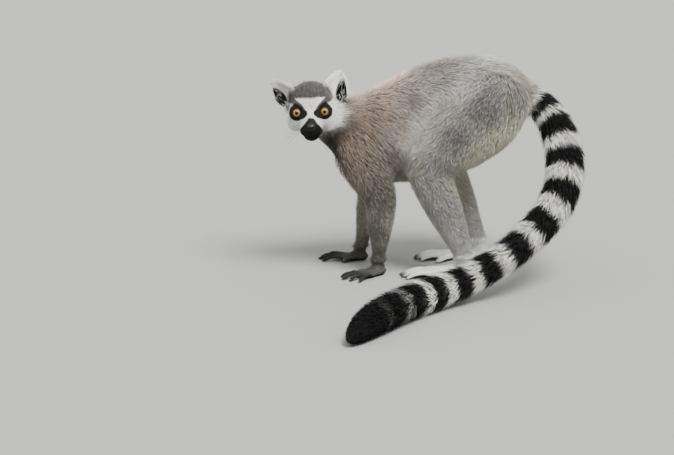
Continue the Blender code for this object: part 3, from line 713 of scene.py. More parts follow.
# Landmarks of the body's colour, the same on both sides: place and colour. The collar, elbows, forearms and
# wrists also carry painted shade.
COAT = [
    ((-13.5, 0, 24.5), (0.154, 0.136, 0.119)),  # nape
    ((-10.5, 0, 25.0), (0.420, 0.330, 0.268)),  # withers
    ((-6.0, 0, 27.0), (0.620, 0.482, 0.398)),  # back
    ((0.0, 0, 29.5), (0.270, 0.240, 0.217)),
    ((5.0, 0, 31.0), (0.370, 0.354, 0.330)),  # loin
    ((9.0, 0, 31.0), (0.600, 0.594, 0.570)),  # rump
    ((12.8, 0, 27.5), (0.500, 0.424, 0.368)),  # root of the tail
    ((-10.8, 4.5, 18.0), (0.280, 0.213, 0.166)),  # shoulder
    ((-8.0, 4.8, 22.0), (0.308, 0.235, 0.186)),
    ((-4.0, 6.0, 20.0), (0.450, 0.386, 0.329)),  # ribs
    ((1.0, 6.0, 22.0), (0.530, 0.499, 0.443)),  # flank
    ((-1.5, 5.5, 15.5), (0.450, 0.424, 0.346)),
    ((-4.8, 6.2, 17.4), (0.250, 0.213, 0.180)),  # before the thigh
    ((-3.6, 6.2, 21.2), (0.270, 0.232, 0.198)),
    ((-1.9, 5.8, 24.6), (0.240, 0.208, 0.180)),
    ((1.8, 5.2, 27.7), (0.225, 0.203, 0.183)),
    ((-2.9, 6.0, 18.4), (0.720, 0.700, 0.650)),  # pale front edge of the thigh
    ((-1.8, 6.2, 20.8), (0.680, 0.662, 0.616)),
    ((-0.1, 6.0, 23.0), (0.680, 0.662, 0.616)),
    ((3.8, 5.4, 26.0), (0.620, 0.606, 0.568)),
    ((6.8, 6.8, 23.8), (0.235, 0.231, 0.221)),  # thigh
    ((2.5, 6.8, 20.0), (0.235, 0.234, 0.222)),
    ((11.5, 5.0, 24.0), (0.322, 0.306, 0.271)),  # buttock
    ((12.4, 4.0, 21.6), (0.620, 0.590, 0.455)),  # cream rear edge of the thigh
    ((9.2, 5.0, 18.4), (0.640, 0.610, 0.470)),
    ((6.3, 5.3, 16.0), (0.620, 0.590, 0.455)),
    ((3.6, 5.0, 14.0), (0.520, 0.500, 0.410)),
    ((-4.0, 0, 12.0), (0.560, 0.530, 0.425)),  # belly
    ((4.0, 0, 15.0), (0.560, 0.530, 0.425)),  # groin
    ((-11.8, 0, 14.5), (0.460, 0.430, 0.330)),  # chest
    ((-15.0, 0.5, 18.5), (0.500, 0.460, 0.335)),  # throat
    # Collar: a real dark neck band, made much darker with painted shadow under the cheek.
    ((-14.0, 3.8, 18.5), (0.018, 0.017, 0.015)),  # collar
    ((-13.9, 4.0, 20.5), (0.022, 0.020, 0.018)),
    ((-13.2, 3.4, 16.6), (0.060, 0.052, 0.044)),
    ((-9.5, 5.5, 14.5), (0.250, 0.208, 0.171)),  # upper arm
    # Elbow, forearm and wrist: grey fur darkened with painted shade, far darker than the fur's own light
    # grey.
    ((-7.0, 5.8, 10.8), (0.175, 0.160, 0.137)),  # elbow
    ((-7.5, 5.5, 6.0), (0.168, 0.162, 0.139)),  # forearm
    ((-8.0, 5.0, 2.8), (0.140, 0.136, 0.118)),  # wrist
    ((-5.6, 4.2, 7.0), (0.400, 0.385, 0.330)),  # rear of the forearm
    ((-7.2, 2.4, 9.0), (0.420, 0.400, 0.325)),  # inside of the arm
    ((-7.6, 2.4, 5.0), (0.381, 0.367, 0.297)),
    ((0.0, 7.0, 16.0), (0.340, 0.339, 0.321)),  # knee
    ((2.0, 6.5, 9.5), (0.410, 0.408, 0.388)),  # shank
    ((4.3, 6.0, 4.5), (0.500, 0.496, 0.477)),
    ((2.8, 3.4, 9.5), (0.480, 0.462, 0.385)),  # inside of the shank
]
COAT_REACH = 1.0  # centimetres within which a landmark's colour is pure
UNDERFUR = 0.9  # the skin's colour against the tufts'
# Middles of the tail's dark rings, in centimetres from its root, and half their width.
RINGS = (3.2, 7.0, 12.1, 17.4, 23.0, 28.1, 33.1, 38.0, 42.9, 47.7)
RING_HALF, FIRST_RING_HALF = 1.58, 1.15


def body_colour(points):
    """The colour of trunk, neck and limbs, between the landmarks."""
    at = in_design(points)
    at[:, 1] = np.abs(at[:, 1])
    places, colours = (np.array(column) for column in zip(*COAT))
    weights = 1 / (((at[:, None] - places) ** 2).sum(2) + COAT_REACH**2) ** 2.2
    return weights @ colours / weights.sum(1, keepdims=True)


def band(values, middle, half, edge):
    """A soft mask of what is within half of the middle, with edges this wide."""
    return np.clip((half - np.abs(values - middle)) / edge + 0.5, 0, 1)


def tail_colour(points):
    """Black rings on white, and a black end."""
    distance = along_tail(points) + 0.25 * lattice_noise(points, 5 * MM, 11)
    dark = np.zeros(len(points))
    for ring in RINGS:
        half = FIRST_RING_HALF if ring == RINGS[0] else RING_HALF
        dark = np.maximum(dark, band(distance, ring, half, 0.3))
    # A thin bar over the root, and the black end with two faint paler rings.
    dark = np.maximum(dark, 0.85 * band(distance, 0.5, 0.4, 0.3))
    last = RINGS[-1] + RING_HALF
    past = distance - last
    pale = 0.28 * bell((past, 1.2, 0.7)) + 0.05 * bell((past, 6.0, 0.7))
    dark = np.maximum(dark, step(distance, last - 0.2, last + 0.2) * (1 - pale))
    white = mix(WHITE, OFF_WHITE, 0.5 + 0.5 * lattice_noise(points, 12 * MM, 12))
    return mix(white, BLACK, dark)


def inside(shape):
    """A soft mask from a function that is 1 on its outline and less inside."""
    return np.clip((1 - shape) / 0.10 + 0.5, 0, 1)


def head_colour(points):
    """The colour of the head's fur, white with a dark mask."""
    ahead, side, up = (in_head(points) + 0.05 * lattice_noise(points, 3 * MM, 5)[:, None]).T
    tilt = math.radians(GAZE_UP)
    # Height as seen from ahead and a little above.
    high = up * math.cos(tilt) - (ahead - EYE_AT[0]) * math.sin(tilt)
    away = np.abs(side)
    # The crown and the back of the head, then white cheeks below and beside them.
    colour = mix(CROWN, COAT[0][1], step(ahead, 0.5, -1.2))
    cheek = np.maximum(step(high, 1.25, 0.95) * step(away, 1.7, 2.1), step(high, 0.2, -0.1))
    cheek = np.maximum(cheek, step(away, 2.55, 2.85) * step(high, 2.3, 1.9)) * step(ahead, -1.7, -0.9)
    colour = mix(colour, mix(CHEEK, CREAM, 0.75 * step(high, -2.2, -3.2)), cheek)
    # The forehead's white wedge, which narrows between the eyes.
    half = np.interp(high, (-0.8, -0.4, 0.0, 0.5, 0.93, 1.3, 1.7), (0.28, 0.36, 0.5, 0.72, 1.0, 1.38, 1.85))
    patch = inside(np.where(high > -0.9, away / half, 2.0)) * step(high, 2.0, 1.87) * step(ahead, 0.0, 0.4)
    colour = mix(colour, FOREHEAD, patch)
    # The dark patches: round each eye, down towards the nose and up at the outer corner.
    beside = EYE_AT[1] - away
    eye = np.hypot((beside - 0.05) / 0.90, high / 1.08)
    eye = np.minimum(eye, np.hypot((beside - 0.60) / 0.86, (high + 0.25 - 0.25 * (beside - 0.6)) / 0.60))
    eye = np.minimum(eye, np.hypot((beside + 0.10) / 0.50, (high - 0.70) / 0.58))
    colour = mix(colour, EYE_PATCH, inside(eye) * step(ahead, 0.2, 0.6))
    near = np.linalg.norm(np.stack([ahead - EYE_AT[0], away - EYE_AT[1], up], 1), axis=1)
    colour = mix(colour, EYE_PATCH, step(near, 1.2, 1.05))  # all round the lids
    # The bridge of the nose and the black of the muzzle, round below and squarer above.
    narrow = np.interp(high, (-2.0, -1.6, -1.2, -0.6), (1.25, 1.0, 0.70, 0.28))
    bridge = inside(away / narrow) * step(high, -0.52, -0.72) * step(ahead, 2.2, 2.5)
    colour = mix(colour, BRIDGE, bridge)
    wide, tall = away / 1.50, (high + 2.62) / 1.20
    bulb = np.where(tall > 0, (wide**2.5 + np.abs(tall) ** 2.5) ** 0.4, np.hypot(wide, tall))
    return mix(colour, MUZZLE, inside(bulb) * step(ahead, 3.2, 3.5))


def ear_hollow(points, normals):
    """A soft mask of the dark, nearly bare inside of the ears."""
    head = in_head(points)
    mask = np.zeros(len(points))
    for side in SIDES:
        root, up, across, opening, height = ear_frame(side)
        own = (head[:, 1] > 0) == (side == "left")
        along = (head - root) @ up / height
        wide = (head - root) @ across / EAR_HALF_WIDTHS[side] * -SIDES[side]
        front = (normals @ HEAD) @ opening > 0.1
        # It lies nearer the outer rim, the more so low down.
        shape = np.hypot((along - 0.36) / 0.42, (wide - (0.60 - 0.25 * along)) / 0.36)
        mask = np.maximum(mask, inside(shape) * front * own)
    return mask


def ear_colour(points, normals):
    return mix(FOREHEAD, EAR_HOLLOW, ear_hollow(points, normals))


def paw_colour(points, normals, kind):
    """Fur over hand or foot, darker on the digits and bare dark below."""
    base, _ = DIGITS[kind]
    back, tips, low, high = (HAND, FINGERS, -0.6, 1.6) if kind == "hand" else (FOOT, TOES, 2.6, 3.8)
    best, colour = np.full(len(points), np.inf), np.zeros_like(points)
    for name in PAWS:
        if name.startswith(kind):
            heel, ahead, _ = paw_frame(name)
            own = mix(back, tips, step((points - heel) @ ahead / CM, base + low, base + high))
            gap = np.linalg.norm((points - heel - ahead * 0.5 * base * CM)[:, :2], axis=1)
            take_nearer(best, gap, colour, own)
    sole = step(normals[:, 2], -0.25, -0.6) * step(in_design(points)[:, 2], 1.0, 0.6)
    return mix(colour, SOLE, sole)


def coat_colour(points, normals, shares):
    """The colour of the coat that grows at each point."""
    fields = dict.fromkeys(("neck", "trunk", "arm", "leg"), body_colour(points))
    fields["head"] = head_colour(points)
    fields["ear"] = ear_colour(points, normals)
    for kind in DIGITS:
        fields[kind] = paw_colour(points, normals, kind)
    fields["tail"] = tail_colour(points)
    return sum(fields[name] * shares[:, i : i + 1] for i, name in enumerate(NAMES))


# ---- Tufts

# Per region: how many tufts, their length in depths of the coat, millimetres beyond that, and if they bend.
TUFTS = {
    "head": (27000, 1.7, 1.0, True),
    "ear": (9000, 2.0, 3.2, False),
    "neck": (9000, 2.1, 1.0, True),
    "trunk": (34000, 2.1, 1.0, True),
    "arm": (14000, 2.1, 1.0, True),
    "leg": (28000, 2.1, 1.0, True),
    "hand": (7000, 1.4, 1.8, False),
    "foot": (12000, 1.4, 2.2, False),
    "tail": (18500, 2.1, 2.5, True),
}
SLOTS = {"head": "face_fur", "ear": "face_fur", "hand": "paw_fur", "foot": "paw_fur", "tail": "tail_fur"}
UNSPLIT = ("neck", "tail")
TUFT_WIDTH, TUFT_TAPER = 0.36, 0.034  # millimetres, and millimetres per millimetre of length
SUNK = 0.35 * MM  # how far the roots are below the skin
SHOWS_AT = 0.75  # share of a tuft's length at which its colour shows over its neighbours
STRAYED = 0.35  # share of a tuft's length by which the skin may turn away below it
FRINGE_OUTSIDE, FRINGE_INSIDE = 2.2, 1.4  # how much longer the hair is on the ears' rims
LOCKS = ((0.30, 7 * MM, 21), (0.22, 22 * MM, 22))  # radians by which neighbours lean, size of locks, and seed
OWN_LEAN = 0.13  # radians by which each tuft leans its own way
DARK_BELOW, PALE_ABOVE = 0.24, 0.70  # draws below and above which a tip of grey fur is dark or pale
PATCH = 0.003  # side of a tuft's place on the map
# A closed spike of three sides: its rings' corners as (across, along the normal), then its triangles.
RING = np.array([(-0.5, 0.0), (0.5, 0.0), (0.0, 0.35)])
TIP_SPREAD = 0.8  # width of the middle ring
TUBE = np.array([(0, 1, 4), (0, 4, 3), (1, 2, 5), (1, 5, 4), (2, 0, 3), (2, 3, 5)])  # between two rings
BENT = np.array([(0, 2, 1), *TUBE, (3, 4, 6), (4, 5, 6), (5, 3, 6)])
STRAIGHT = np.array([(0, 2, 1), (0, 1, 3), (1, 2, 3), (2, 0, 3)])


def patch_of(faces, rows):
    """Each corner's place in a tuft's unit patch: round the tuft, and along it."""
    corners, tip = [], 3 * rows
    for face in faces.tolist():
        turns = {v % 3 for v in face if v < tip}
        wraps = {0, 2} <= turns  # the side that closes the round goes from 2 to 3, not back to 0
        for v in face:
            if len(turns) == 3:
                corners.append((0.1 * (v == 1), 0.06 * (v == 2)))
            elif v == tip:
                corners.append((0.5, 1.0))
            else:
                turn = v % 3 + 3 * (wraps and v % 3 == 0)
                corners.append((turn / 3, 0.1 + 0.9 * (v // 3) / rows))
    return np.array(corners)


class Skin:
    """The skin's surface, with a search for the nearest place on it."""

    def __init__(self, mesh, shares):
        self.surface = Surface(mesh)
        self.shares = shares
        self.normals = self.surface.normals()
        self.tree = BVHTree.FromPolygons(self.surface.points.tolist(), self.surface.triangles.tolist())
        self.map = read(mesh.uv_layers["OFBake"].data, "uv", np.float32, 2)

    def nearest(self, points):
        """The nearest place on the skin to each point, and the normal there."""
        found = [self.tree.find_nearest(p) for p in points]
        places = np.array([hit[0] for hit in found])
        corners = self.surface.triangles[[hit[2] for hit in found]]
        return places, unit(self.normals[corners].sum(1))


def grow(skin, rng):
    """Roots of all the tufts, spread evenly over each region: triangle and shares of its corners."""
    corners = skin.surface.points[skin.surface.triangles]
    area = np.linalg.norm(np.cross(corners[:, 1] - corners[:, 0], corners[:, 2] - corners[:, 0]), axis=1) / 2
    region = skin.shares[skin.surface.triangles].sum(1).argmax(1)
    depth = coat_depth(skin.surface.points, skin.shares)[skin.surface.triangles].mean(1)
    faces, regions = [], []
    for i, name in enumerate(NAMES):
        count, times, beyond, _ = TUFTS[name]
        count = count
        length = times * depth + beyond
        # Shorter hair stands closer.
        weight = area * (region == i) / (length * (TUFT_WIDTH + TUFT_TAPER * length)) ** 0.75
        total = np.cumsum(weight)
        picks = (np.arange(count) + rng.random(count)) / count * total[-1]
        faces.append(np.minimum(np.searchsorted(total, picks), len(area) - 1))
        regions.append(np.full(count, i))
    faces, regions = np.concatenate(faces), np.concatenate(regions)
    u, v = rng.random((2, len(faces)))
    over = u + v > 1
    u[over], v[over] = 1 - u[over], 1 - v[over]
    return faces, regions, np.stack([1 - u - v, u, v], 1)


def bare(points, normals, shares):
    """Where no tuft grows: lids, nose, soles, the bottom of the tail's end and most of the ears' hollows."""
    head = in_head(points)
    none = (np.abs((head - NOSE_AT) / NOSE_RADII) ** 2).sum(1) < 1.35
    for side in SIDES:
        far, _, angle = from_eye(head, side)
        none |= (far < EYE_RADIUS + 0.35) & (angle < LID_ANGLE + 13)
    paw = share_in(shares, "hand", "foot") > 0.5
    none |= paw & (normals[:, 2] < -0.4) & (in_design(points)[:, 2] < 0.6)
    # More hairs cross the upper part of the ears' hollows.
    few = lattice_noise(points, 0.4 * MM, 77) > -0.60 + 0.45 * step(head[:, 2], 2.0, 3.4)
    return none | ((ear_hollow(points, normals) > 0.5) & few)


def onward(skin, points, normals, way, length):
    """Place and normal of the skin half a tuft's length on, or straight ahead where it has turned away."""
    ahead = points + way * length[:, None] * 0.5
    spot, normal = skin.nearest(ahead)
    strayed = np.linalg.norm(spot - ahead, axis=1) > STRAYED * length
    spot[strayed], normal[strayed] = ahead[strayed], normals[strayed]
    return spot, normal


def tuft_arrays(skin, rng):
    """Each tuft's corners (two rings and the tip), colours, region, side and place on the map."""
    faces, regions, at = grow(skin, rng)
    corners = skin.surface.triangles[faces]
    points = (skin.surface.points[corners] * at[:, :, None]).sum(1)
    normals = unit((skin.normals[corners] * at[:, :, None]).sum(1))
    shares = (skin.shares[corners] * at[:, :, None]).sum(1)
    places = (skin.map[skin.surface.loops[faces]] * at[:, :, None]).sum(1)
    kept = ~bare(points, normals, shares)
    points, normals, shares, regions, places = (a[kept] for a in (points, normals, shares, regions, places))
    count = len(points)
    depth = coat_depth(points, shares)
    times, beyond = (shares @ np.array([TUFTS[name][i] for name in NAMES]) for i in (1, 2))
    bent = np.array([TUFTS[name][3] for name in NAMES])[regions]
    length = (times * depth + beyond) * (0.8 + 0.4 * rng.random(count)) * MM
    height = (depth + 0.5 + 0.08 * depth * bent) * (0.75 + 0.45 * rng.random(count)) * MM
    # The rims of the ears have a longer fringe, most of all outside.
    ear = regions == NAMES.index("ear")
    head = in_head(points)
    facing = normals @ HEAD
    rim = ear & (np.abs(facing[:, 0]) < 0.55)
    length[rim] *= np.where((facing[:, 1] * np.sign(head[:, 1]))[rim] > 0.3, FRINGE_OUTSIDE, FRINGE_INSIDE)
    width = (TUFT_WIDTH + TUFT_TAPER * length / MM) * MM * (0.8 + 0.4 * rng.random(count))
    # Neighbours lean together into locks, and each a little its own way.
    way = lie_of_coat(points, normals, shares)
    turn = sum(lean * lattice_noise(points, size, seed) for lean, size, seed in LOCKS)
    turn += rng.normal(0, OWN_LEAN, count)
    way = way * np.cos(turn)[:, None] + np.cross(normals, way) * np.sin(turn)[:, None]
    # Straight tufts stand on the skin. Bent ones follow it, middle ring and tip over places further on.
    middle_at, middle_normal = points.copy(), normals.copy()
    tip = points + way * length[:, None] * 0.95 + normals * height[:, None]
    spot, normal = onward(skin, points[bent], normals[bent], way[bent], length[bent])
    middle_at[bent] = spot + normal * (0.62 * height[bent])[:, None]
    middle_normal[bent] = normal
    further = unit(way[bent] - normal * (way[bent] * normal).sum(1, keepdims=True))
    spot, normal = onward(skin, spot, normal, further, length[bent])
    tip[bent] = spot + normal * height[bent, None]
    rings = [
        (points - normals * SUNK, np.cross(normals, way), normals, width),
        (middle_at, unit(np.cross(middle_normal, way)), middle_normal, width * TIP_SPREAD),
    ]
    corners = []
    for spot, across, up, wide in rings:
        corners += [spot + (across * a + up * b) * wide[:, None] for a, b in RING]
    corners = np.stack([*corners, tip], 1)
    corners[:, :, 2] = np.maximum(corners[:, :, 2], 0.3 * MM)
    seen = points + way * (SHOWS_AT * length)[:, None]
    colours = tuft_colours(seen, normals, shares, rng, (ear_hollow(points, normals) > 0.5) & ear)
    on_head = ear | (regions == NAMES.index("head"))
    right = np.where(on_head, head[:, 1] < 0, in_design(points)[:, 1] > 0)
    return corners, colours, regions, right, places


def tuft_colours(points, normals, shares, rng, in_ears):
    """Colours of each tuft's root, middle and tip. Grey fur is ticked with dark and pale tips, and the few
    hairs inside the ears are white."""
    base = coat_colour(points, normals, shares)
    base[in_ears] = np.array(CHEEK) * 0.8
    light = base @ np.array((0.3, 0.6, 0.1))
    grey = step(light, 0.02, 0.06) * step(light, 0.62, 0.40)
    pale = step(light, 0.45, 0.7)
    count = len(points)
    patchy = 1 + 0.16 * lattice_noise(points, 2.5 * MM, 31) + 0.10 * lattice_noise(points, 9 * MM, 32)
    own = np.exp(rng.normal(0, 0.16, count) * (0.3 + 0.7 * grey)) * (1 + (patchy - 1) * (0.35 + 0.65 * grey))
    kind = rng.random(count)
    ticked = np.select([kind < DARK_BELOW, kind > PALE_ABOVE], [0.5, 1.5], 1.05)
    tip = 1 + (ticked - 1) * grey
    # Roots are darker than middles and tips: partly the grey fur's own darker base, partly painted shade deep
    # in the coat, which darkens white roots too.
    shade = np.stack([(0.70 + 0.18 * pale) * own, (0.92 + 0.06 * pale) * own, tip * own], 1)
    return np.clip(base[:, None, :] * shade[:, :, None], 0.0015, 0.93)


def coat_mesh(name, corners, colours, places, bent):
    """One joined mesh of tufts, with their colours and their map."""
    template, rows = (BENT, 2) if bent else (STRAIGHT, 1)
    if not bent:
        corners = corners[:, [0, 1, 2, 6]]
    count, each = corners.shape[:2]
    mesh = mesh_of(name, corners.reshape(-1, 3), copies(template, count, each))
    paint(mesh, "FLOAT_COLOR", "Coat", opaque(colours[:, [0, 0, 0, 1, 1, 1, 2] if bent else [0, 0, 0, 2]]))
    spots = np.clip(places, 0, 1 - PATCH)[:, None] + patch_of(template, rows)[None] * PATCH
    mesh.uv_layers.new(name="OFBake").data.foreach_set("uv", spots.astype(np.float32).ravel())
    return mesh


def make_coat(skin, rng, material):
    """Shows the tufts, one piece for each region or for each half of it."""
    corners, colours, regions, right, places = tuft_arrays(skin, rng)
    for i, region in enumerate(NAMES):
        here = regions == i
        groups = {"": here} if region in UNSPLIT else {"_left": here & ~right, "_right": here & right}
        for suffix, own in groups.items():
            name = f"coat_{region}{suffix}"
            mesh = coat_mesh(name, corners[own], colours[own], places[own], TUFTS[region][3])
            fit(show(name, mesh, material), SLOTS.get(region, "body_fur"))


# ---- Eyes, nose, nails and whiskers

EYE_FIT = 0.985  # the eyeballs' size against the solids'
CORNEA, CORNEA_BULGE = 40.0, 0.06  # degrees from the gaze, and share of the radius
EYE_ROWS, EYE_SEGMENTS = 40, 48
NOSE_ROWS, NOSE_SEGMENTS = 40, 56
NAIL_ROWS, NAIL_SEGMENTS = 14, 20
NOSE_FIT, NOSE_SET = 0.86, (-0.05, 0.0, -0.07)  # the pad's size against the solid's, and its shift
THUMBS = {"hand": (1.0, 0.45, 2.3, 48.0), "foot": (4.4, 0.45, 3.4, 36.0)}  # along, across, length and splay
NAIL = (0.19, 0.12, 0.055)  # half length, half width and thickness
WHISKERS = 13  # on each side
WHISKER = ((0, 0.17), (0.35, 0.14), (0.7, 0.1), (1, 0.02))  # along, and half width in millimetres


def ball(rows, segments):
    """Unit directions and quads of a ball whose pole is +X, its rows closer near the pole."""
    angles = np.pi * np.linspace(0, 1, rows) ** 1.25
    angles[0], angles[-1] = 0.012, np.pi - 0.012
    turns = np.arange(segments) * 2 * np.pi / segments
    a, t = (grid.ravel() for grid in np.meshgrid(angles, turns, indexing="ij"))
    ways = np.stack([np.cos(a), np.sin(a) * np.cos(t), np.sin(a) * np.sin(t)], 1)
    i, j = (grid.ravel() for grid in np.meshgrid(np.arange(rows - 1), np.arange(segments), indexing="ij"))
    k = (j + 1) % segments
    quads = np.stack([i * segments + j, (i + 1) * segments + j, (i + 1) * segments + k, i * segments + k], 1)
    return ways, a, t, quads


def filled(name, points, quads):
    """A mesh of these points and quads, with its open ends closed."""
    mesh = mesh_of(name, points, quads)
    bm = bmesh.new()
    bm.from_mesh(mesh)
    bmesh.ops.holes_fill(bm, edges=[e for e in bm.edges if e.is_boundary], sides=0)
    bm.to_mesh(mesh)
    bm.free()
    return mesh


def make_eye(side, material):
    """An eyeball with a raised cornea, and each point's place on the iris."""
    ways, angle, turn, quads = ball(EYE_ROWS, EYE_SEGMENTS)
    centre, gaze = eye_frame(side)
    degrees = np.degrees(angle)
    radius = EYE_RADIUS * EYE_FIT * (1 + CORNEA_BULGE * np.clip(1 - (degrees / CORNEA) ** 2, 0, 1) ** 2)
    left = unit(np.cross((0, 0, 1), gaze))
    points = from_head(centre + (ways * radius[:, None]) @ np.stack([gaze, left, np.cross(gaze, left)]))
    mesh = filled(f"eyeball_{side}", points, quads)
    paint(mesh, "FLOAT_VECTOR", "iris", np.stack([np.cos(turn), np.sin(turn), degrees / LID_ANGLE], 1))
    fit(show(f"eyeball_{side}", mesh, material), "eye", f"eye_{side}")


def make_nose(material):
    """The nose pad: an ellipsoid with a groove down the middle and a comma-shaped nostril on either side."""
    ways, _, _, quads = ball(NOSE_ROWS, NOSE_SEGMENTS)
    points = ways * NOSE_RADII
    ahead, side, up = ways.T
    front = step(ahead, 0.1, 0.5)
    away = np.abs(side)
    nostril = bell((away, 0.52, 0.13), (up, -0.12, 0.15))
    tail = bell((away, 0.74, 0.16), (up, -0.24, 0.06))
    groove = bell((side, 0, 0.07)) * step(up, 0.35, -0.1)
    rim = bell((away, 0.45, 0.3), (up, 0.18, 0.12))
    inward = front * (0.20 * nostril + 0.10 * tail + 0.05 * groove - 0.03 * rim)
    points = points - ways * inward[:, None]
    points = from_head(np.array(NOSE_AT) + NOSE_SET + points * NOSE_FIT)
    fit(show("nose_pad", filled("nose_pad", points, quads), material), "nose_skin", "nose")


def make_nails(skin, material):
    """A flat nail on each digit, laid on the skin."""
    ways, _, _, quads = ball(NAIL_ROWS, NAIL_SEGMENTS)
    shape = ways * NAIL * CM
    shape[:, 1] *= 1 - 0.35 * np.clip(ways[:, 0], 0, 1)
    shape[:, 2] -= 0.9 * np.square(ways[:, 1]) * NAIL[2] * CM
    for name in PAWS:
        heel, ahead, inward = paw_frame(name)
        kind = name.split("_")[0]
        base, digits = DIGITS[kind]
        places = [(base - 0.5, across, length + 0.5, splay) for across, length, splay in digits]
        nails = []
        for along, across, length, splay in [*places, THUMBS[kind]]:
            turn = math.radians(splay)
            lean = ahead * math.cos(turn) + inward * math.sin(turn)
            end = Vector(heel + (ahead * along + inward * across + lean * (length + 0.02)) * CM)
            hit, normal, _, _ = skin.tree.ray_cast(end + Vector((0, 0, 0.02)), Vector((0, 0, -1)))
            if hit is None:
                hit, normal = end + Vector((0, 0, 0.003)), Vector((0, 0, 1))
            up = unit(np.array(normal) + (0, 0, 0.6) + lean * 0.15)
            front = unit(lean - up * (lean @ up))
            nails.append((np.array(hit) + shape @ np.stack([front, np.cross(up, front), up]), quads))
        mesh = filled(f"nails_{name}", *joined(nails))
        fit(show(f"nails_{name}", mesh, material), "nose_skin")


def make_whiskers(skin, material, rng):
    """Thin dark whiskers in rows on the upper lip."""
    points = []
    for side, i in ((side, i) for side in (-1, 1) for i in range(WHISKERS)):
        row, column = i % 3, i // 3
        start = (4.55 - 0.28 * column, side * 1.6, -1.75 - 0.22 * row + 0.05 * column)
        root, _ = skin.nearest([Vector(from_head(np.array(start)))])
        way = np.array((0.15 - 0.25 * column, side * 1.0, -0.25 - 0.15 * row))
        way = HEAD @ unit(way + rng.normal(0, 0.08, 3))
        length = (22 + 10 * rng.random()) * MM
        across = unit(np.cross(way, (0, 0, 1.0)))
        up = np.cross(across, way)
        for t, thick in WHISKER:
            spot = root[0] + way * length * t + np.array((0, 0, -0.16)) * length * t * t
            points += [spot + (across * a + up * b) * 2 * thick * MM for a, b in RING]
    template = np.vstack([TUBE, TUBE + 3, TUBE + 6, (2, 1, 0), (9, 10, 11)])
    mesh = mesh_of("whiskers", np.array(points), copies(template, 2 * WHISKERS, 12))
    fit(show("whiskers", mesh, material), "face_fur")


# ---- Materials

# Dark and light, roughness, cells per metre and their depth in metres.
LEATHERS = {
    "nose_leather": ((0.004, 0.004, 0.004), (0.012, 0.0115, 0.011), 0.5, 2200.0, 0.0002),
    "nail": ((0.012, 0.011, 0.010), (0.03, 0.027, 0.024), 0.35, 700.0, 0.00005),
}


def new_material(name, roughness, **settings):
    """A material and its Principled shader, with these sockets set."""
    material = bpy.data.materials.new(name)
    material.use_nodes = True
    shader = material.node_tree.nodes["Principled BSDF"]
    shader.inputs["Roughness"].default_value = roughness
    for socket, value in settings.items():
        shader.inputs[socket.replace("_", " ")].default_value = value
    return material, shader


def add(material, kind, inputs=(), **settings):
    """A node with these settings, and inputs given as (socket, value or other node's socket)."""
    tree = material.node_tree
    node = tree.nodes.new(kind)
    for name, value in settings.items():
        setattr(node, name, value)
    for socket, value in inputs:
        if isinstance(value, bpy.types.NodeSocket):
            tree.links.new(value, node.inputs[socket])
        else:
            node.inputs[socket].default_value = value
    return node


def ramp(material, factor, *stops):
    """The colour at factor between stops, each a position and a colour."""
    node = add(material, "ShaderNodeValToRGB", [("Fac", factor)])
    elements = node.color_ramp.elements
    while len(elements) < len(stops):
        elements.new(0.5)
    for element, (position, colour) in zip(elements, stops):
        element.position = position
        element.color = (*colour, 1)
    return node.outputs["Color"]


def grain(material, kind, scale, *inputs):
    """A Noise or Voronoi texture in the piece's own coordinates."""
    place_at = add(material, "ShaderNodeTexCoord").outputs["Object"]
    return add(material, f"ShaderNodeTex{kind}", [("Vector", place_at), ("Scale", scale), *inputs])


def multiplied(material, a, b, factor):
    inputs = [("Factor", factor), ("A", a), ("B", b)]
    return add(material, "ShaderNodeMix", inputs, data_type="RGBA", blend_type="MULTIPLY").outputs["Result"]


def link(material, output, shader, socket="Base Color"):
    material.node_tree.links.new(output, shader.inputs[socket])


def bumped(material, shader, height, strength, distance):
    inputs = [("Height", height), ("Strength", strength), ("Distance", distance)]
    bump = add(material, "ShaderNodeBump", inputs)
    link(material, bump.outputs["Normal"], shader, "Normal")


def skin_material():
    """The short underfur: the coat's colours, darker, with a fine streaky bump."""
    material, shader = new_material("underfur", 0.85, Specular_IOR_Level=0.15)
    colour = add(material, "ShaderNodeAttribute", attribute_name="Coat").outputs["Color"]
    noise = grain(material, "Noise", 900.0, ("Detail", 3.0), ("Roughness", 0.6)).outputs["Fac"]
    shade = ramp(material, noise, (0.3, (0.62, 0.62, 0.62)), (0.7, (1.0, 1.0, 1.0)))
    link(material, multiplied(material, colour, shade, 1.0), shader)
    bumped(material, shader, noise, 0.6, 0.0006)
    return material


def fur_material():
    material, shader = new_material("fur", 0.72, Specular_IOR_Level=0.25)
    link(material, add(material, "ShaderNodeAttribute", attribute_name="Coat").outputs["Color"], shader)
    return material


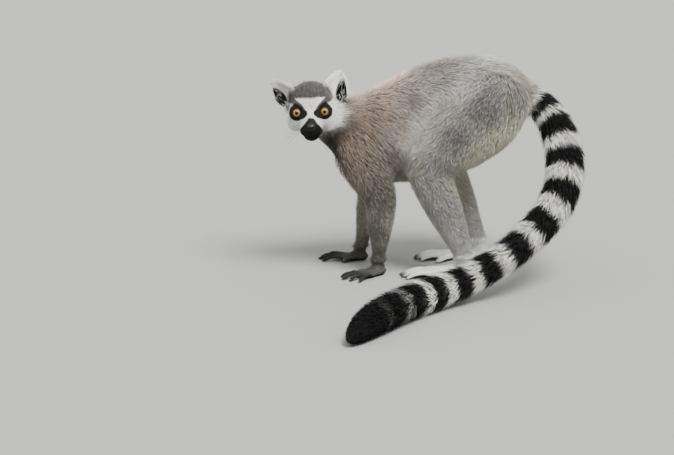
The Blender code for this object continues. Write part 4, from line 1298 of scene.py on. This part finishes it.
def eye_material():
    """Amber iris with radial fibres, round black pupil and dark rim, under a glossy coat."""
    material, shader = new_material("eye", 0.4, Specular_IOR_Level=0.1, Coat_Weight=0.4, Coat_Roughness=0.04)
    iris = add(material, "ShaderNodeAttribute", attribute_name="iris").outputs["Vector"]
    parts = add(material, "ShaderNodeSeparateXYZ", [("Vector", iris)])
    squeezed = add(material, "ShaderNodeVectorMath", [(0, iris), (1, (9.0, 9.0, 1.2))], operation="MULTIPLY")
    inputs = [("Vector", squeezed.outputs["Vector"]), ("Scale", 1.6), ("Detail", 4.0)]
    fibres = add(material, "ShaderNodeTexNoise", inputs).outputs["Fac"]
    wobble = add(material, "ShaderNodeMath", [(0, fibres), (1, 0.10)], operation="MULTIPLY").outputs["Value"]
    out = add(material, "ShaderNodeMath", [(0, parts.outputs["Z"]), (1, wobble)], operation="ADD")
    colour = ramp(
        material,
        out.outputs["Value"],
        (0.0, (0.002, 0.002, 0.002)),
        (0.31, (0.002, 0.002, 0.002)),
        (0.34, (0.10, 0.055, 0.008)),
        (0.42, (0.28, 0.205, 0.042)),
        (0.66, (0.31, 0.215, 0.040)),
        (0.78, (0.18, 0.085, 0.012)),
        (0.93, (0.075, 0.030, 0.006)),
        (1.0, (0.010, 0.007, 0.005)),
    )
    streaks = ramp(material, fibres, (0.3, (0.55, 0.5, 0.45)), (0.7, (1.0, 1.0, 1.0)))
    link(material, multiplied(material, colour, streaks, 0.7), shader)
    return material


def leather_material(name):
    """Bare dark skin or horn, with fine cells."""
    dark, light, roughness, scale, depth = LEATHERS[name]
    material, shader = new_material(name, roughness, Specular_IOR_Level=0.5)
    cells = grain(material, "Voronoi", scale).outputs["Distance"]
    link(material, ramp(material, cells, (0.0, light), (0.8, dark)), shader)
    bumped(material, shader, cells, 0.35, depth)
    return material


def mottled_material(name, roughness, scale, low, high, **settings):
    """Two colours in soft noise."""
    material, shader = new_material(name, roughness, **settings)
    noise = grain(material, "Noise", scale).outputs["Fac"]
    link(material, ramp(material, noise, (0.3, low), (0.7, high)), shader)
    return material


# ---- The animal


def unwrap(obj):
    """Adds the map OFBake, an unwrap of the skin's own shape."""
    obj.data.uv_layers.new(name="OFBake")
    bpy.context.view_layer.objects.active = obj
    obj.select_set(True)
    bpy.ops.object.mode_set(mode="EDIT")
    bpy.ops.mesh.select_all(action="SELECT")
    bpy.ops.uv.smart_project(angle_limit=math.radians(66), island_margin=0.002)
    bpy.ops.object.mode_set(mode="OBJECT")
    obj.select_set(False)


def make_animal():
    rng = np.random.default_rng(11)
    mesh, shares = make_skin_mesh(Solids())
    solids = [node for nodes in REGIONS.values() for node in nodes]
    covered = [node for node in solids if not node.startswith(("eye", "nose"))]
    piece = show("skin", mesh, skin_material())
    unwrap(piece)
    fit(piece, "body_fur", *covered)
    skin = Skin(mesh, shares)
    colours = coat_colour(skin.surface.points, skin.normals, shares) * UNDERFUR
    paint(mesh, "FLOAT_COLOR", "Coat", opaque(colours))
    make_coat(skin, rng, fur_material())
    for side in SIDES:
        make_eye(side, eye_material())
    make_nose(leather_material("nose_leather"))
    make_nails(skin, leather_material("nail"))
    hair = mottled_material("whisker", 0.5, 300.0, (0.008, 0.007, 0.006), (0.03, 0.027, 0.024))
    make_whiskers(skin, hair, rng)


# ---- Floor, light and camera

FLOOR_ALBEDO = (0.32, 0.32, 0.31)
FLOOR_SIDE = 12  # metres
SKY, SUN = 1.2, 6.0  # brightness
SUN_ANGLE, SUN_FROM = 25, (0.35, -0.55, 1.0)  # degrees that the sun is wide, and the way to it
CAMERA_TARGET, CAMERA_DISTANCE, CAMERA_RISE = (-13.0, 0.0, 5.7), 4.0, 14.0
VIEW_WIDTH = 0.9436  # metres across the picture at the target
SENSOR = 36.0


def make_stage():
    """Paper floor, even light from all round and one wide lamp."""
    bpy.ops.mesh.primitive_grid_add(x_subdivisions=8, y_subdivisions=8, size=FLOOR_SIDE)
    floor = bpy.context.object
    floor.name = "floor"
    low = tuple(0.985 * c for c in FLOOR_ALBEDO)
    paper = mottled_material("paper", 0.9, 40.0, low, FLOOR_ALBEDO, Specular_IOR_Level=0.1)
    floor.data.materials.append(paper)
    world = bpy.data.worlds.new("studio")
    world.use_nodes = True
    background = world.node_tree.nodes["Background"]
    background.inputs["Color"].default_value = (1.0, 1.0, 1.0, 1)
    background.inputs["Strength"].default_value = SKY
    bpy.context.scene.world = world
    lamp = bpy.data.lights.new("softbox", "SUN")
    lamp.energy = SUN
    lamp.angle = math.radians(SUN_ANGLE)
    sun = bpy.data.objects.new("softbox", lamp)
    sun.rotation_euler = Vector(SUN_FROM).to_track_quat("Z", "Y").to_euler()
    bpy.context.scene.collection.objects.link(sun)


def make_camera():
    """The view of the photo: from the animal's left and a little above."""
    data = bpy.data.cameras.new("photo_view")
    data.sensor_width = SENSOR
    data.lens = CAMERA_DISTANCE * SENSOR / VIEW_WIDTH
    camera = bpy.data.objects.new("photo_view", data)
    rise = math.radians(CAMERA_RISE)
    away = Vector((0, -math.cos(rise), math.sin(rise)))
    camera.location = Vector(place(CAMERA_TARGET)) + away * CAMERA_DISTANCE
    camera.rotation_euler = away.to_track_quat("Z", "Y").to_euler()
    bpy.context.scene.collection.objects.link(camera)
    bpy.context.scene.camera = camera


make_animal()
make_stage()
make_camera()
